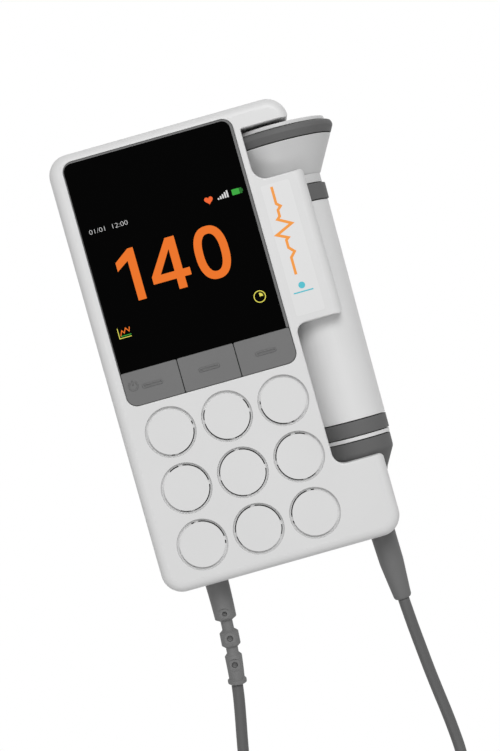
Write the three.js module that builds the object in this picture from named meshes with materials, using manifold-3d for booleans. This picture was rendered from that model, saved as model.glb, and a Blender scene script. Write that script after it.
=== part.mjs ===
// Fetal doppler monitor: a unit with a screen, three keys and a speaker, and a probe on a cord in a side holder.
// Millimetres. +X is to the right of the screen, +Y to its top, +Z out of it.
// The origin is the middle of the unit's flat back face.
import * as THREE from "three";
import { mergeVertices } from "three/addons/utils/BufferGeometryUtils.js";
import Module from "manifold-3d";

const wasm = await Module();
wasm.setup();

// Clearances between pieces.
const gap = 0.3; // between pieces that rest on each other
const overrun = 1; // how far a cut runs past the face that it opens
const rooted = 1; // how far a post, wall or frame runs into the wall that carries it
const keySplit = 0.4; // between two keys

// The unit's casing.
const body = {
  width: 76.2, height: 140, depth: 35, cornerR: 6.6, edgeR: 3, innerR: 2, wall: 2, partingZ: 17.5,
};
const right = body.width / 2;
const left = -right;
const top = body.height / 2;
const bottom = -top;
const innerFrontZ = body.depth - body.wall;

// The probe's holder takes the right of the casing: a notch for the head, a tab, and a window onto the handle.
const holder = { width: 15.3, divider: 2, deepDivider: 3.9, frontRoom: 6.5, tabLength: 45.9 };
const holderX = right - holder.width;
const cavityRight = holderX - holder.divider; // of the room for the screen and the loudspeaker
const deepRight = holderX - holder.deepDivider; // of the room behind it, which leaves a wall beside the probe
const cavityLeft = left + body.wall;
const notch = { fromTop: 7.2, high: 16.8, cornerR: 4.4 };
notch.y1 = top - notch.fromTop;
notch.y0 = notch.y1 - notch.high;
const gripWindow = { fromBottom: 24.9, lowR: 3.9, highR: 3 };
gripWindow.y1 = notch.y0 - holder.tabLength;
gripWindow.y0 = bottom + gripWindow.fromBottom;

// The loudspeaker fills the cavity's width at its bottom end, under a grille of nine rings.
const speaker = { leftSpace: 6.5, rightSpace: 1.4, lowSpace: 6.3, travel: 0.5 };
speaker.rimR = (cavityRight - cavityLeft - speaker.leftSpace - speaker.rightSpace) / 2;
speaker.x = cavityRight - speaker.rightSpace - speaker.rimR;
speaker.y = bottom + speaker.lowSpace + speaker.rimR;
const grille = {
  rows: 3, reach: 2.5, ringGap: 2.5, bevel: 0.3, slot: 0.55, deep: 0.9, openEdge: 2, bridge: 1.3,
};
grille.pitch = (2 * (speaker.rimR + grille.reach)) / grille.rows;
grille.bevelR = (grille.pitch - grille.ringGap) / 2;
grille.slotR = grille.bevelR - grille.bevel;
grille.discR = grille.slotR - grille.slot;
grille.openR = speaker.rimR - grille.openEdge;
const cloth = { thick: 0.4, margin: 0.2 };
const basket = { rimHigh: 3.2, rimWall: 1.6, floor: 0.7, hubR: 12.5, hubStep: 0.5, boreR: 5 };
const cone = {
  thick: 0.4, spare: 0.1, hubR: 6, rollIn: 3, rollWidth: 1, capR: 3, capSide: 0.7, capHigh: 0.9, rise: 1.1,
  coilOutR: 4.5, coilInR: 4, coilSpare: 0.2,
};
cone.rollR = speaker.rimR - cone.rollIn;
const magnet = { r: 12, thick: 1.7, grooveDeep: 1.2 };
const speakerWall = { thick: 1.2, deep: 3 };

// The opening above it for the three keys and the screen's glass, which takes the height that is left.
const opening = { fromLeft: 4.6, fromTop: 2.7, overSpeaker: 3.8, keysHigh: 11, cornerR: 3.4 };
opening.x0 = left + opening.fromLeft;
opening.x1 = cavityRight;
opening.y0 = speaker.y + speaker.rimR + opening.overSpeaker;
opening.y1 = top - opening.fromTop;
const glass = { thick: 1.2, recess: 0.2 };
glass.y0 = opening.y0 + opening.keysHigh;
const ledge = { width: 1.5, thick: 1.8, margin: 2.5 };
const lcd = { fromLeft: 4.1, fromRight: 4.8, fromLow: 2.9, fromTop: 7.3, thick: 3.7, cornerR: 1 };
const key = { count: 3, recess: 0.3, flange: 0.8, flangeThick: 0.8, travel: 0.4, cornerR: 0.6, chamfer: 0.35 };
const keyDash = { length: 6.5, width: 1.3, proud: 0.25 };
const keyBoard = { lowOut: 3.1, highOut: 1.4, thick: 1.2, side: 1 };
const keySwitch = { size: 5.2, thick: 1.3, spare: 0.2 };
const keyBoardPost = { width: 4, placeShares: [-0.9, 0, 0.9] };

// Two battery cells in a well behind the loudspeaker, and the door that slides off the bottom end.
const cell = { r: 7.25, length: 50.5, split: 0.5, nubR: 2.7, nubHigh: 1 };
cell.pitch = 2 * cell.r + cell.split;
const well = { fromEnd: 5.4, sideGap: 0.35, endGap: 1.35, wall: 1.2, roof: 0.8 };
const door = { recess: 0.2, plate: 1.1, tongue: 0.7, tongueOut: 1, lap: 0.6 };
const doorGrip = { ridges: 4, width: 15, high: 1.1, pitch: 2.6, deep: 0.4, fromEnd: 8 };
const rail = { thick: 1.3, wide: 1.2 };
const contact = { thick: 0.4, width: 9, high: 9, nubR: 2.2 };
well.x = speaker.x;
well.y0 = bottom + well.fromEnd;
well.y1 = well.y0 + cell.length + 2 * well.endGap;
well.half = cell.pitch / 2 + cell.r + well.sideGap;
door.half = well.half + door.lap;
door.tongueHalf = door.half + door.tongueOut;

// Boards and their parts.
const board = {
  fromLeft: 4.1, fromRight: 3.2, fromWell: 2.2, fromTop: 28, behindLcd: 8, thick: 1.6, cornerR: 2,
};
board.x0 = cavityLeft + board.fromLeft;
board.x1 = cavityRight - board.fromRight;
board.y0 = well.y1 + well.wall + board.fromWell;
board.y1 = top - board.fromTop;
const boardBoss = { r: 2.5, inset: 4 };
const processor = { leftOfMiddle: 1.25, overMiddle: 8, size: 14, thick: 1.6 };
const amplifier = { fromRight: 10.5, fromLow: 16, width: 8, height: 6, thick: 1.4 };
const cordSocket = { fromLeft: 12.5, fromLow: 5, width: 7, height: 5, thick: 3.6 };

// Case screws, put in from the back.
const screw = {
  headR: 2.4, headHigh: 2, shankR: 1.25, tipR: 0.6, headZ: 3.7, fromFront: 8,
  crossWidth: 0.7, crossLength: 2.8, crossDeep: 0.9,
};
screw.tipZ = body.depth - screw.fromFront;
const screwHole = { r: 1.55, sinkR: 2.7, sinkZ: 6 };
const post = {
  frontR: 3, rearR: 3.8, fromLeft: 5.4, fromTop: 6, fromBottom: 5.5, topRight: 11.5, bottomRight: 4.2,
};
const screwPlaces = [
  [left + post.fromLeft, top - post.fromTop], [cavityRight - post.topRight, top - post.fromTop],
  [left + post.fromLeft, bottom + post.fromBottom], [cavityRight - post.bottomRight, bottom + post.fromBottom],
];

// The cord, and the strain relief that it leaves the unit by.
const cord = { r: 1.85, sides: 8, steps: 18 };
const relief = {
  fromLeft: 15.4, holeR: 3.5, neckR: 3.2, innerR: 5, innerThick: 1.3,
  flangeR: 4.3, flangeThick: 0.8, bootR: 3.75, bootEndR: 3.45, bootLength: 11.5, waistR: 1.9, waist: 2.8,
  chamfer: 0.9, beadR: 3.02, beadLength: 5.8, lowWaist: 1.8, sleeveR: 2.75, sleeveEndR: 2.5, sleeveLength: 8.3,
  endR: 3, endThick: 1.6, endRound: 0.3, driftX: -2.4, driftZ: -3.3, bendPower: 2,
};
relief.x = left + relief.fromLeft;
relief.z = body.partingZ;

// The probe. Its parts are turned about its own axis, with s the distance along it, and each seats on the last.
const probe = {
  fromRight: 5.45, z: 18.2, lean: 0.015, handleTopS: 35.95, wall: 1.8, clearance: 0.4, channelRun: 20,
  pocketWall: 1, pocketSpare: 0.3, // of the pocket that the head reaches into
  neckOut: 4.35, // how far the head's lower end is below the notch
};
const handle = { length: 69.2, topR: 10.7, midR: 10.75, midLength: 45.95, lowR: 10.85, topWall: 1.75 };
handle.s1 = probe.handleTopS;
handle.s0 = handle.s1 - handle.length;
handle.midS = handle.s1 - handle.midLength;
handle.topBore = handle.topR - handle.topWall;
const neckBand = { length: 5.1, r: 11.1 };
neckBand.s0 = handle.s1 + gap;
neckBand.s1 = neckBand.s0 + neckBand.length;
const head = { neckR: 10.25, neckLength: 2.8, coneLowR: 10.6, length: 14.2, coneTopR: 16.75, boreR: 8.4 };
head.s0 = neckBand.s1 + gap;
head.neckTop = head.s0 + head.neckLength;
head.s1 = head.s0 + head.length;
const faceBand = { r0: 16.95, lowLength: 2.15, rWide: 18.1, length: 3.95, r1: 17.1, boreR: 14.6 };
faceBand.s0 = head.s1 + gap;
faceBand.sWide = faceBand.s0 + faceBand.lowLength;
faceBand.s1 = faceBand.s0 + faceBand.length;
const rimShares = [[0, 0], [0.12, 0.5], [0.45, 0.85], [1, 1]]; // in and up, from the band's widest place
const face = { r: 15.9, edge: 1.1, dome: 0.9 };
face.s = faceBand.s1 + gap;
const domeShares = [[1, 0], [0.97, 0.13], [0.75, 0.5], [0.4, 0.87], [0, 1]]; // of the face's radius and dome
const crystal = { fromBore: 1.2, thick: 1.2, split: 0.6 };
crystal.r = faceBand.boreR - crystal.fromBore;
const backing = { fromBore: 0.7, thick: 3 };
backing.r = faceBand.boreR - backing.fromBore;
backing.s1 = face.s - crystal.thick - 2 * gap;
backing.s0 = backing.s1 - backing.thick;
const probeBoard = { fromBore: 0.6, thick: 1.2, fromLow: 5.25, fromTop: 6.25 };
probeBoard.half = handle.topBore - probeBoard.fromBore;
probeBoard.s0 = handle.s0 + probeBoard.fromLow;
probeBoard.s1 = handle.s1 - probeBoard.fromTop;
const tailBand = { length: 4.55, r: 10.9 };
tailBand.s1 = handle.s0 - gap;
tailBand.s0 = tailBand.s1 - tailBand.length;
const tailRing = { length: 1.15, r: 10.75 };
tailRing.s1 = tailBand.s0 - gap;
tailRing.s0 = tailRing.s1 - tailRing.length;
const tail = {
  length: 17.75, r: 10.65, shoulderLength: 4.2, midLength: 10.15, midR: 7.3, endR: 4.7, boreR: 2.2,
};
tail.s1 = tailRing.s0 - gap;
tail.shoulder = tail.s1 - tail.shoulderLength;
tail.midS = tail.s1 - tail.midLength;
tail.s0 = tail.s1 - tail.length;
const probeRelief = {
  length: 33.8, rootR: 4.2, shoulderR: 3.85, shoulder: 21.9, endR: 2.85, rim: 0.6, play: 1,
  driftX: 1.43, driftZ: -3.4, bendPower: 1.4, thirdShares: [0, 1 / 3, 2 / 3],
};
probeRelief.s0 = tail.s0 - probe.clearance;
probe.x = right - probe.fromRight;
probe.y = notch.y0 - head.s0 - probe.neckOut;

// The spare cord lies in a coil: two layers that spiral in and out again.
const coil = {
  x: 7, y: -174, meanR: 20.5, layerTurns: 3.5, climbTurns: 0.5, pitch: 4.25, // pitch: between turns and layers
  steps: 24, sides: 6, // a turn's points, and the cord's facets
};

// The cord's route from the unit to the coil, and from the coil to the probe.
const unitRoute = [
  [-25.41, -104.46, 14.05], [-25.98, -108.21, 13.26], [-27.29, -114.93, 10.61], [-28.83, -122.27, 7.47],
  [-30.16, -129.41, 4.81], [-30.88, -136.94, 2.88], [-30.39, -144.65, 2.03], [-28.22, -152.55, 1.85],
  [-24.76, -160.32, 1.85], [-21.65, -166.86, 1.85], [-20.94, -170.43, 1.85], [-20.94, -173.7, 1.85],
];
const probeRoute = [
  [34.94, -173.71, 6.1], [34.97, -169.93, 6.05], [35.74, -162.16, 5], [36.98, -153.99, 3.1],
  [37.66, -146.17, 2.2], [37.25, -138.38, 2.57], [36.53, -131.26, 3.82], [35.71, -124.54, 5.44],
  [34.88, -117.41, 7.68], [34.16, -110.07, 10.3], [33.43, -102.14, 12.92], [32.97, -95.86, 14.48],
  [32.75, -92.37, 14.95],
];

// Facets of round pieces, arcs and edges.
const facets = {
  probe: 36, channel: 28, speaker: 32, ring: 24, relief: 16, post: 12, cell: 18,
  arc: 3, edge: 4, small: 2, key: 1,
};
const weldTolerance = 1e-4;

// Materials.
const paint = (name, color, roughness, metalness = 0) =>
  Object.assign(new THREE.MeshStandardMaterial({ color, roughness, metalness }), { name });
const materials = {
  casing: paint("casing", 0xe4e4e4, 0.5),
  darkBand: paint("dark_band", 0x626264, 0.55),
  keyGrey: paint("key_grey", 0x77777a, 0.6),
  glass: paint("glass", 0x08080a, 0.08),
  display: paint("display", 0x16181c, 0.35),
  board: paint("board", 0x1f5a36, 0.6),
  chip: paint("chip", 0x1a1a1c, 0.5),
  steel: paint("steel", 0xb9bcc0, 0.3, 1),
  cloth: paint("cloth", 0x141416, 0.95),
  coneBlack: paint("cone", 0x232325, 0.8),
  cell: paint("cell", 0x8c5a2a, 0.4, 0.4),
  cordGrey: paint("cord_grey", 0x606265, 0.6),
  ceramic: paint("ceramic", 0xcfc8b4, 0.5),
  foam: paint("foam", 0x3a3a3c, 0.9),
  acoustic: paint("acoustic_cap", 0xcfcfce, 0.45),
};

// Solids and geometries.
function weld(geometry) {
  const bare = geometry.clone();
  bare.deleteAttribute("normal");
  bare.deleteAttribute("uv");
  return mergeVertices(bare, weldTolerance);
}

function trianglesOf(geometry) {
  const index = geometry.index.array;
  const kept = [];
  for (let i = 0; i < index.length; i += 3) {
    const [a, b, c] = index.slice(i, i + 3);
    if (a !== b && b !== c && c !== a) kept.push(a, b, c);
  }
  return kept;
}

function volumeOf(positions, triangles) {
  const corner = (i) => new THREE.Vector3().fromArray(positions, triangles[i] * 3);
  let volume = 0;
  for (let i = 0; i < triangles.length; i += 3)
    volume += corner(i).dot(corner(i + 1).cross(corner(i + 2)));
  return volume;
}

// A closed geometry as a solid with its faces pointing out, whichever way its outline ran.
function solid(geometry) {
  const welded = weld(geometry);
  const positions = welded.attributes.position.array;
  const triangles = trianglesOf(welded);
  if (volumeOf(positions, triangles) < 0)
    for (let i = 0; i < triangles.length; i += 3)
      [triangles[i + 1], triangles[i + 2]] = [triangles[i + 2], triangles[i + 1]];
  return new wasm.Manifold(
    new wasm.Mesh({ numProp: 3, vertProperties: positions, triVerts: new Uint32Array(triangles) }),
  );
}

function geometryOf(shape) {
  const data = shape.getMesh();
  const geometry = new THREE.BufferGeometry();
  const positions = new Float32Array(data.numVert * 3);
  for (let i = 0; i < data.numVert; i++)
    positions.set(data.vertProperties.subarray(i * data.numProp, i * data.numProp + 3), i * 3);
  geometry.setAttribute("position", new THREE.BufferAttribute(positions, 3));
  geometry.setIndex(new THREE.BufferAttribute(new Uint32Array(data.triVerts), 1));
  geometry.computeVertexNormals();
  return geometry;
}

const join = (shapes) => shapes.reduce((all, shape) => all.add(shape));
const cut = (shape, tools) => tools.reduce((rest, tool) => rest.subtract(tool), shape);

function part(name, shape, material) {
  const made = new THREE.Mesh(geometryOf(shape), material);
  made.name = name;
  return made;
}

// A box between two corners.
function box(x0, y0, z0, x1, y1, z1) {
  const geometry = new THREE.BoxGeometry(x1 - x0, y1 - y0, z1 - z0);
  return solid(geometry.translate((x0 + x1) / 2, (y0 + y1) / 2, (z0 + z1) / 2));
}

// A rectangle with a radius of its own at each corner: low left, low right, high right, high left.
function outline(x0, y0, x1, y1, [lowLeft, lowRight, highRight, highLeft]) {
  const shape = new THREE.Shape();
  const corner = (x, y, r, turn) => {
    if (r > 0) shape.absarc(x, y, r, turn, turn + Math.PI / 2, false);
    else shape.lineTo(x, y);
  };
  shape.moveTo(x0 + lowLeft, y0);
  corner(x1 - lowRight, y0 + lowRight, lowRight, -Math.PI / 2);
  corner(x1 - highRight, y1 - highRight, highRight, 0);
  corner(x0 + highLeft, y1 - highLeft, highLeft, Math.PI / 2);
  corner(x0 + lowLeft, y0 + lowLeft, lowLeft, Math.PI);
  return shape;
}

// An outline drawn out from z0 to z1, with straight sides.
function plate(shape, z0, z1, arc = facets.arc) {
  const options = { depth: z1 - z0, bevelEnabled: false, curveSegments: arc };
  return solid(new THREE.ExtrudeGeometry(shape, options).translate(0, 0, z0));
}

// The same with rounded edges at both ends.
function roundedPlate(shape, z0, z1, edgeR, edgeFacets = facets.edge, arc = facets.arc) {
  const geometry = new THREE.ExtrudeGeometry(shape, {
    depth: z1 - z0 - 2 * edgeR, bevelThickness: edgeR, bevelSize: edgeR, bevelOffset: -edgeR,
    bevelSegments: edgeFacets, curveSegments: arc,
  });
  return solid(geometry.translate(0, 0, z0 + edgeR));
}

// A profile of [radius, height] points turned about +Y. It starts and ends on the axis, or is closed up here.
function turnedGeometry(profile, count) {
  const points = profile.map(([r, s]) => new THREE.Vector2(r, s));
  if (profile[0][0] > 0) points.push(points[0].clone());
  return new THREE.LatheGeometry(points, count);
}

const turned = (profile, count) => solid(turnedGeometry(profile, count));

// The same about +Z through (x, y).
const turnedZ = (profile, count, x, y) =>
  solid(turnedGeometry(profile, count).rotateX(Math.PI / 2).translate(x, y, 0));

const pillar = (x, y, r, z0, z1, count = facets.post) =>
  turnedZ([[0, z0], [r, z0], [r, z1], [0, z1]], count, x, y);

// Levels through the unit, from the front face back.
const level = {};
level.glassTop = body.depth - glass.recess;
level.glassBack = level.glassTop - glass.thick;
level.ledgeTop = level.glassBack - gap;
level.ledgeBack = level.ledgeTop - ledge.thick;
level.lcdTop = level.ledgeBack - gap;
level.boardTop = level.lcdTop - lcd.thick - board.behindLcd;
level.boardBack = level.boardTop - board.thick;
level.flangeTop = level.ledgeBack - gap;
level.flangeBack = level.flangeTop - key.flangeThick;
level.keyTop = body.depth - key.recess;
level.switchTop = level.flangeBack - key.travel - keySwitch.spare;
level.keyBoardTop = level.switchTop - keySwitch.thick - gap;
level.clothTop = innerFrontZ - gap;
level.rimTop = level.clothTop - cloth.thick - gap;
level.basketFloor = level.rimTop - basket.rimHigh;
level.hubBack = level.basketFloor - basket.hubStep;
level.magnetTop = level.hubBack - gap;

// Levels of the battery well, from the back face forward.
level.doorBack = door.recess;
level.tongueBack = level.doorBack + door.plate;
level.doorTop = level.tongueBack + door.tongue;
level.cellAxis = level.doorTop + gap + cell.r;
level.roofBack = level.cellAxis + cell.r + gap;

// The probe's frame: its axis leans to the right going up.
const probePlace = new THREE.Matrix4()
  .makeTranslation(probe.x, probe.y, probe.z)
  .multiply(new THREE.Matrix4().makeRotationZ(-probe.lean));

// The outline of the probe's head beside its axis, with room around it, up to the pocket's end.
function headOutline(spare, end) {
  return [
    [neckBand.r + spare, neckBand.s0 - spare],
    [neckBand.r + spare, head.neckTop],
    [head.coneTopR + spare, head.s1 - spare],
    [faceBand.rWide + spare, faceBand.sWide - spare],
    [faceBand.rWide + spare, end],
    [0, end],
  ];
}

const pocketEnd = notch.y1 - probe.pocketSpare - probe.y;

// The outline that the whole probe needs, from below the casing to the pocket's end.
function channelProfile() {
  const spare = probe.clearance;
  const low = bottom - probe.channelRun - probe.y;
  return [
    [0, low],
    [probeRelief.rootR + probeRelief.play, low],
    [tail.endR + spare, tail.s0 - spare],
    [tail.midR + spare, tail.midS - spare],
    [tail.r + spare, tail.shoulder - spare],
    [tailBand.r + spare, tailBand.s1 + spare],
    [handle.midR + spare, handle.midS],
    ...headOutline(spare, pocketEnd),
  ];
}

// The wall of the pocket that the head reaches into, behind the screen's right edge.
function pocketWall() {
  const spare = probe.clearance + probe.pocketWall;
  const profile = [[0, neckBand.s0 - spare], ...headOutline(spare, pocketEnd + probe.pocketWall)];
  const wall = turnedGeometry(profile, facets.channel).applyMatrix4(probePlace);
  return solid(wall).intersect(casingForm());
}

// The way that the probe takes out of its holder: its turned outline, and the same drawn out to the right.
function probeChannel() {
  const profile = channelProfile();
  const shape = new THREE.Shape();
  profile.forEach(([r, s], i) => (i ? shape.lineTo(r, s) : shape.moveTo(r, s)));
  [...profile].reverse().forEach(([r, s]) => r && shape.lineTo(-r, s));
  const sweep = new THREE.ExtrudeGeometry(shape, { depth: body.width, bevelEnabled: false });
  return join([
    solid(turnedGeometry(profile, facets.channel).applyMatrix4(probePlace)),
    solid(sweep.rotateY(Math.PI / 2).applyMatrix4(probePlace)),
  ]);
}

function headNotch() {
  const shape = outline(holderX, notch.y0, right + overrun, notch.y1, [notch.cornerR, 0, 0, 0]);
  return plate(shape, -overrun, body.depth + overrun);
}

function gripWindowCut() {
  const corners = [gripWindow.lowR, 0, 0, gripWindow.highR];
  const shape = outline(holderX, gripWindow.y0, right + overrun, gripWindow.y1, corners);
  return plate(shape, probe.z, body.depth + overrun);
}

const holderCuts = () => [probeChannel(), headNotch(), gripWindowCut()];

// The casing's outer form and the space inside it.
function casingForm() {
  const r = body.cornerR;
  return roundedPlate(outline(left, bottom, right, top, [r, r, r, r]), 0, body.depth, body.edgeR);
}

function casingSpace() {
  const r = body.cornerR - body.wall;
  const edge = body.edgeR - body.wall;
  const room = (x1, z0) => {
    const corners = [r, body.innerR, body.innerR, r];
    const shape = outline(cavityLeft, bottom + body.wall, x1, top - body.wall, corners);
    return roundedPlate(shape, z0, innerFrontZ, edge, facets.small);
  };
  return join([room(deepRight, body.wall), room(cavityRight, innerFrontZ - holder.frontRoom)]);
}

// All of the casing's room between two levels.
const slab = (z0, z1) => box(left - overrun, bottom - overrun, z0, right + overrun, top + overrun, z1);
const frontHalf = () => slab(body.partingZ + gap / 2, body.depth + overrun);
const rearHalf = () => slab(-overrun, body.partingZ - gap / 2);

const screwHoles = () =>
  screwPlaces.flatMap(([x, y]) => [
    pillar(x, y, screwHole.r, -overrun, screw.tipZ + 2 * gap),
    pillar(x, y, screwHole.sinkR, -overrun, screwHole.sinkZ),
  ]);

function reliefHole() {
  const y0 = bottom - overrun;
  const y1 = well.y0 - well.wall - gap;
  const hole = turnedGeometry([[0, y0], [relief.holeR, y0], [relief.holeR, y1], [0, y1]], facets.cell);
  return solid(hole.translate(relief.x, 0, relief.z));
}

// The opening for the glass and the keys, from z0 out through the front.
function openingCut(z0) {
  const r = opening.cornerR;
  const shape = outline(opening.x0, opening.y0, opening.x1, opening.y1, [r, r, r, r]);
  return plate(shape, z0, body.depth + overrun);
}

// A frame behind the opening: the glass rests on its ledge, and the keys' flanges stop against its back.
function ledgeFrame() {
  const { margin, width } = ledge;
  const frame = box(
    opening.x0 - margin, opening.y0 - margin, level.ledgeBack,
    opening.x1 + rooted, Math.min(opening.y1 + margin, top - rooted), innerFrontZ + rooted,
  );
  const r = opening.cornerR - width;
  const view = outline(
    opening.x0 + width, glass.y0 + width, opening.x1 - width, opening.y1 - width, [r, r, r, r],
  );
  const keysR = opening.cornerR;
  const keyWay = outline(opening.x0, opening.y0, opening.x1, glass.y0, [keysR, keysR, 0, 0]);
  return cut(frame, [
    openingCut(level.ledgeTop),
    plate(view, level.ledgeBack - overrun, body.depth),
    plate(keyWay, level.ledgeBack - overrun, body.depth),
  ]);
}

// Posts on the ledge frame that hold the keys' board.
function keyBoardPosts() {
  const middle = (opening.x0 + opening.x1) / 2;
  const reach = (opening.x1 - opening.x0) / 2 - keyBoardPost.width;
  const y0 = opening.y0 - ledge.margin;
  const y1 = opening.y0 - key.flange - gap;
  return keyBoardPost.placeShares.map((share) => {
    const x = middle + share * reach;
    const half = keyBoardPost.width / 2;
    return box(x - half, y0, level.keyBoardTop + gap, x + half, y1, level.ledgeTop);
  });
}

// The loudspeaker's seat: a short round wall inside the front cover.
function speakerSeat() {
  const inner = speaker.rimR + gap;
  const outer = inner + speakerWall.thick;
  const back = innerFrontZ - speakerWall.deep;
  const front = innerFrontZ + rooted;
  const profile = [[inner, back], [outer, back], [outer, front], [inner, front]];
  return turnedZ(profile, facets.speaker, speaker.x, speaker.y);
}

const grillePlaces = () => {
  const steps = [...Array(grille.rows).keys()].map((i) => (i - (grille.rows - 1) / 2) * grille.pitch);
  return steps.flatMap((dy) => steps.map((dx) => [speaker.x + dx, speaker.y + dy]));
};

// Each ring of the grille is a bevelled groove. Its slot goes right through where the loudspeaker is behind it.
function grilleCuts() {
  const front = body.depth;
  const { discR, slotR, bevelR, deep } = grille;
  const groove = [
    [discR, front - deep], [slotR, front - deep], [bevelR, front],
    [bevelR, front + overrun], [discR, front + overrun],
  ];
  const slot = [
    [discR, innerFrontZ - overrun], [slotR, innerFrontZ - overrun],
    [slotR, front - deep], [discR, front - deep],
  ];
  const half = grille.bridge / 2;
  const bridges = grillePlaces().flatMap(([x, y]) => [
    box(x - half, y - slotR - gap, innerFrontZ - 2 * overrun, x + half, y + slotR + gap, front + overrun),
    box(x - slotR - gap, y - half, innerFrontZ - 2 * overrun, x + slotR + gap, y + half, front + overrun),
  ]);
  const behind = pillar(speaker.x, speaker.y, grille.openR, innerFrontZ - overrun, front, facets.speaker);
  const slots = join(grillePlaces().map(([x, y]) => turnedZ(slot, facets.ring, x, y)));
  const grooves = join(grillePlaces().map(([x, y]) => turnedZ(groove, facets.ring, x, y)));
  return [grooves, cut(slots.intersect(behind), bridges)];
}

function frontCover() {
  const shell = cut(casingForm().intersect(frontHalf()), [casingSpace(), openingCut(innerFrontZ - overrun)]);
  const posts = screwPlaces.map(([x, y]) =>
    pillar(x, y, post.frontR, body.partingZ + gap / 2, y > 0 ? level.ledgeTop : innerFrontZ + rooted));
  const pocket = pocketWall().intersect(frontHalf());
  const whole = join([shell, ledgeFrame(), ...keyBoardPosts(), speakerSeat(), pocket, ...posts]);
  const cuts = [...holderCuts(), ...screwHoles(), reliefHole(), ...grilleCuts()];
  return part("front_cover", cut(whole, cuts), materials.casing);
}

// The battery well: walls and a roof on the rear wall, and rails beside the door's tongues.
function batteryWell() {
  const half = well.half + well.wall;
  const y0 = well.y0 - well.wall;
  const y1 = well.y1 + well.wall;
  const railHalf = door.tongueHalf + gap + rail.wide;
  const railTop = level.doorTop + gap + rail.thick;
  return join([
    box(well.x - half, y0, body.wall - rooted, well.x + half, y1, level.roofBack + well.roof),
    box(well.x - railHalf, bottom + rooted, body.wall - rooted, well.x + railHalf, y1 + rail.wide, railTop),
  ]);
}

function batteryWellSpace() {
  return box(
    well.x - well.half, well.y0, -overrun, well.x + well.half, well.y1, level.roofBack,
  );
}

function doorSpace() {
  const y0 = bottom - overrun;
  const roof = level.doorTop + gap;
  const y1 = well.y1 + door.lap + gap;
  const half = door.half + gap;
  const wide = door.tongueHalf + gap;
  const lip = level.tongueBack - gap;
  return [
    box(well.x - half, y0, -overrun, well.x + half, y1, roof),
    box(well.x - wide, y0, lip, well.x + wide, y1, roof),
  ];
}

function rearCover() {
  const shell = cut(casingForm().intersect(rearHalf()), [casingSpace()]);
  const posts = screwPlaces.map(([x, y]) =>
    pillar(x, y, post.rearR, body.wall - rooted, body.partingZ - gap / 2));
  const inset = boardBoss.inset;
  const bosses = [board.x0 + inset, board.x1 - inset].flatMap((x) =>
    [board.y0 + inset, board.y1 - inset].map((y) =>
      pillar(x, y, boardBoss.r, body.wall - rooted, level.boardBack - gap)));
  const inside = join([...posts, ...bosses, batteryWell(), pocketWall().intersect(rearHalf())])
    .intersect(casingForm());
  const cuts = [...holderCuts(), ...screwHoles(), reliefHole(), batteryWellSpace(), ...doorSpace()];
  return part("rear_cover", cut(join([shell, inside]), cuts), materials.casing);
}

function batteryDoor() {
  const y1 = well.y1 + door.lap;
  const plateBox = box(
    well.x - door.half, bottom - overrun, level.doorBack, well.x + door.half, y1, level.doorTop,
  );
  const tongues = box(
    well.x - door.tongueHalf, bottom - overrun, level.tongueBack, well.x + door.tongueHalf, y1, level.doorTop,
  );
  const half = doorGrip.width / 2;
  const ridges = [...Array(doorGrip.ridges).keys()].map((i) => {
    const y = y1 - doorGrip.fromEnd - i * doorGrip.pitch;
    const deep = level.doorBack + doorGrip.deep;
    return box(well.x - half, y - doorGrip.high, level.doorBack - overrun, well.x + half, y, deep);
  });
  const whole = join([plateBox, tongues]).intersect(casingForm());
  return part("battery_door", cut(whole, ridges), materials.casing);
}

function displayWindow() {
  const inset = opening.cornerR - gap;
  const shape = outline(
    opening.x0 + gap, glass.y0, opening.x1 - gap, opening.y1 - gap, [0, 0, inset, inset],
  );
  return part("display_window", plate(shape, level.glassBack, level.glassTop), materials.glass);
}

function lcdModule() {
  const r = lcd.cornerR;
  const shape = outline(
    opening.x0 + lcd.fromLeft, glass.y0 + lcd.fromLow, opening.x1 - lcd.fromRight, opening.y1 - lcd.fromTop,
    [r, r, r, r],
  );
  const form = plate(shape, level.lcdTop - lcd.thick, level.lcdTop, facets.small);
  return part("lcd_module", form, materials.display);
}

const keyNames = ["left", "centre", "right"];
const keyWidth = (opening.x1 - opening.x0) / key.count;

// Left and right edges of key i, and the middle of its place.
function keySpan(i) {
  const x0 = opening.x0 + i * keyWidth;
  return {
    x0: x0 + (i === 0 ? gap : keySplit / 2),
    x1: x0 + keyWidth - (i === key.count - 1 ? gap : keySplit / 2),
    middle: x0 + keyWidth / 2,
  };
}

function keyPart(i) {
  const { x0, x1, middle } = keySpan(i);
  const y0 = opening.y0 + gap;
  const y1 = glass.y0 - gap;
  const round = opening.cornerR - gap;
  const first = i === 0;
  const last = i === key.count - 1;
  const corners = [first ? round : key.cornerR, last ? round : key.cornerR, key.cornerR, key.cornerR];
  const cap = roundedPlate(
    outline(x0, y0, x1, y1, corners), level.flangeBack, level.keyTop, key.chamfer, facets.key, facets.small,
  );
  const flange = box(
    first ? x0 - key.flange : x0, y0 - key.flange, level.flangeBack,
    last ? x1 + gap : x1, y1 + key.flange, level.flangeTop,
  );
  const half = keyDash.width / 2;
  const dash = roundedPlate(
    outline(
      middle - keyDash.length / 2, (y0 + y1) / 2 - half, middle + keyDash.length / 2, (y0 + y1) / 2 + half,
      [half, half, half, half],
    ),
    level.keyTop - keyDash.proud, level.keyTop + keyDash.proud, keyDash.proud, facets.small, facets.small,
  );
  return part("key_" + keyNames[i], join([cap, flange, dash]), materials.keyGrey);
}

function keySwitchPart(i) {
  const { middle } = keySpan(i);
  const half = keySwitch.size / 2;
  const y = (opening.y0 + glass.y0) / 2;
  const back = level.switchTop - keySwitch.thick;
  const shape = box(middle - half, y - half, back, middle + half, y + half, level.switchTop);
  return part("key_switch_" + keyNames[i], shape, materials.chip);
}

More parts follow.
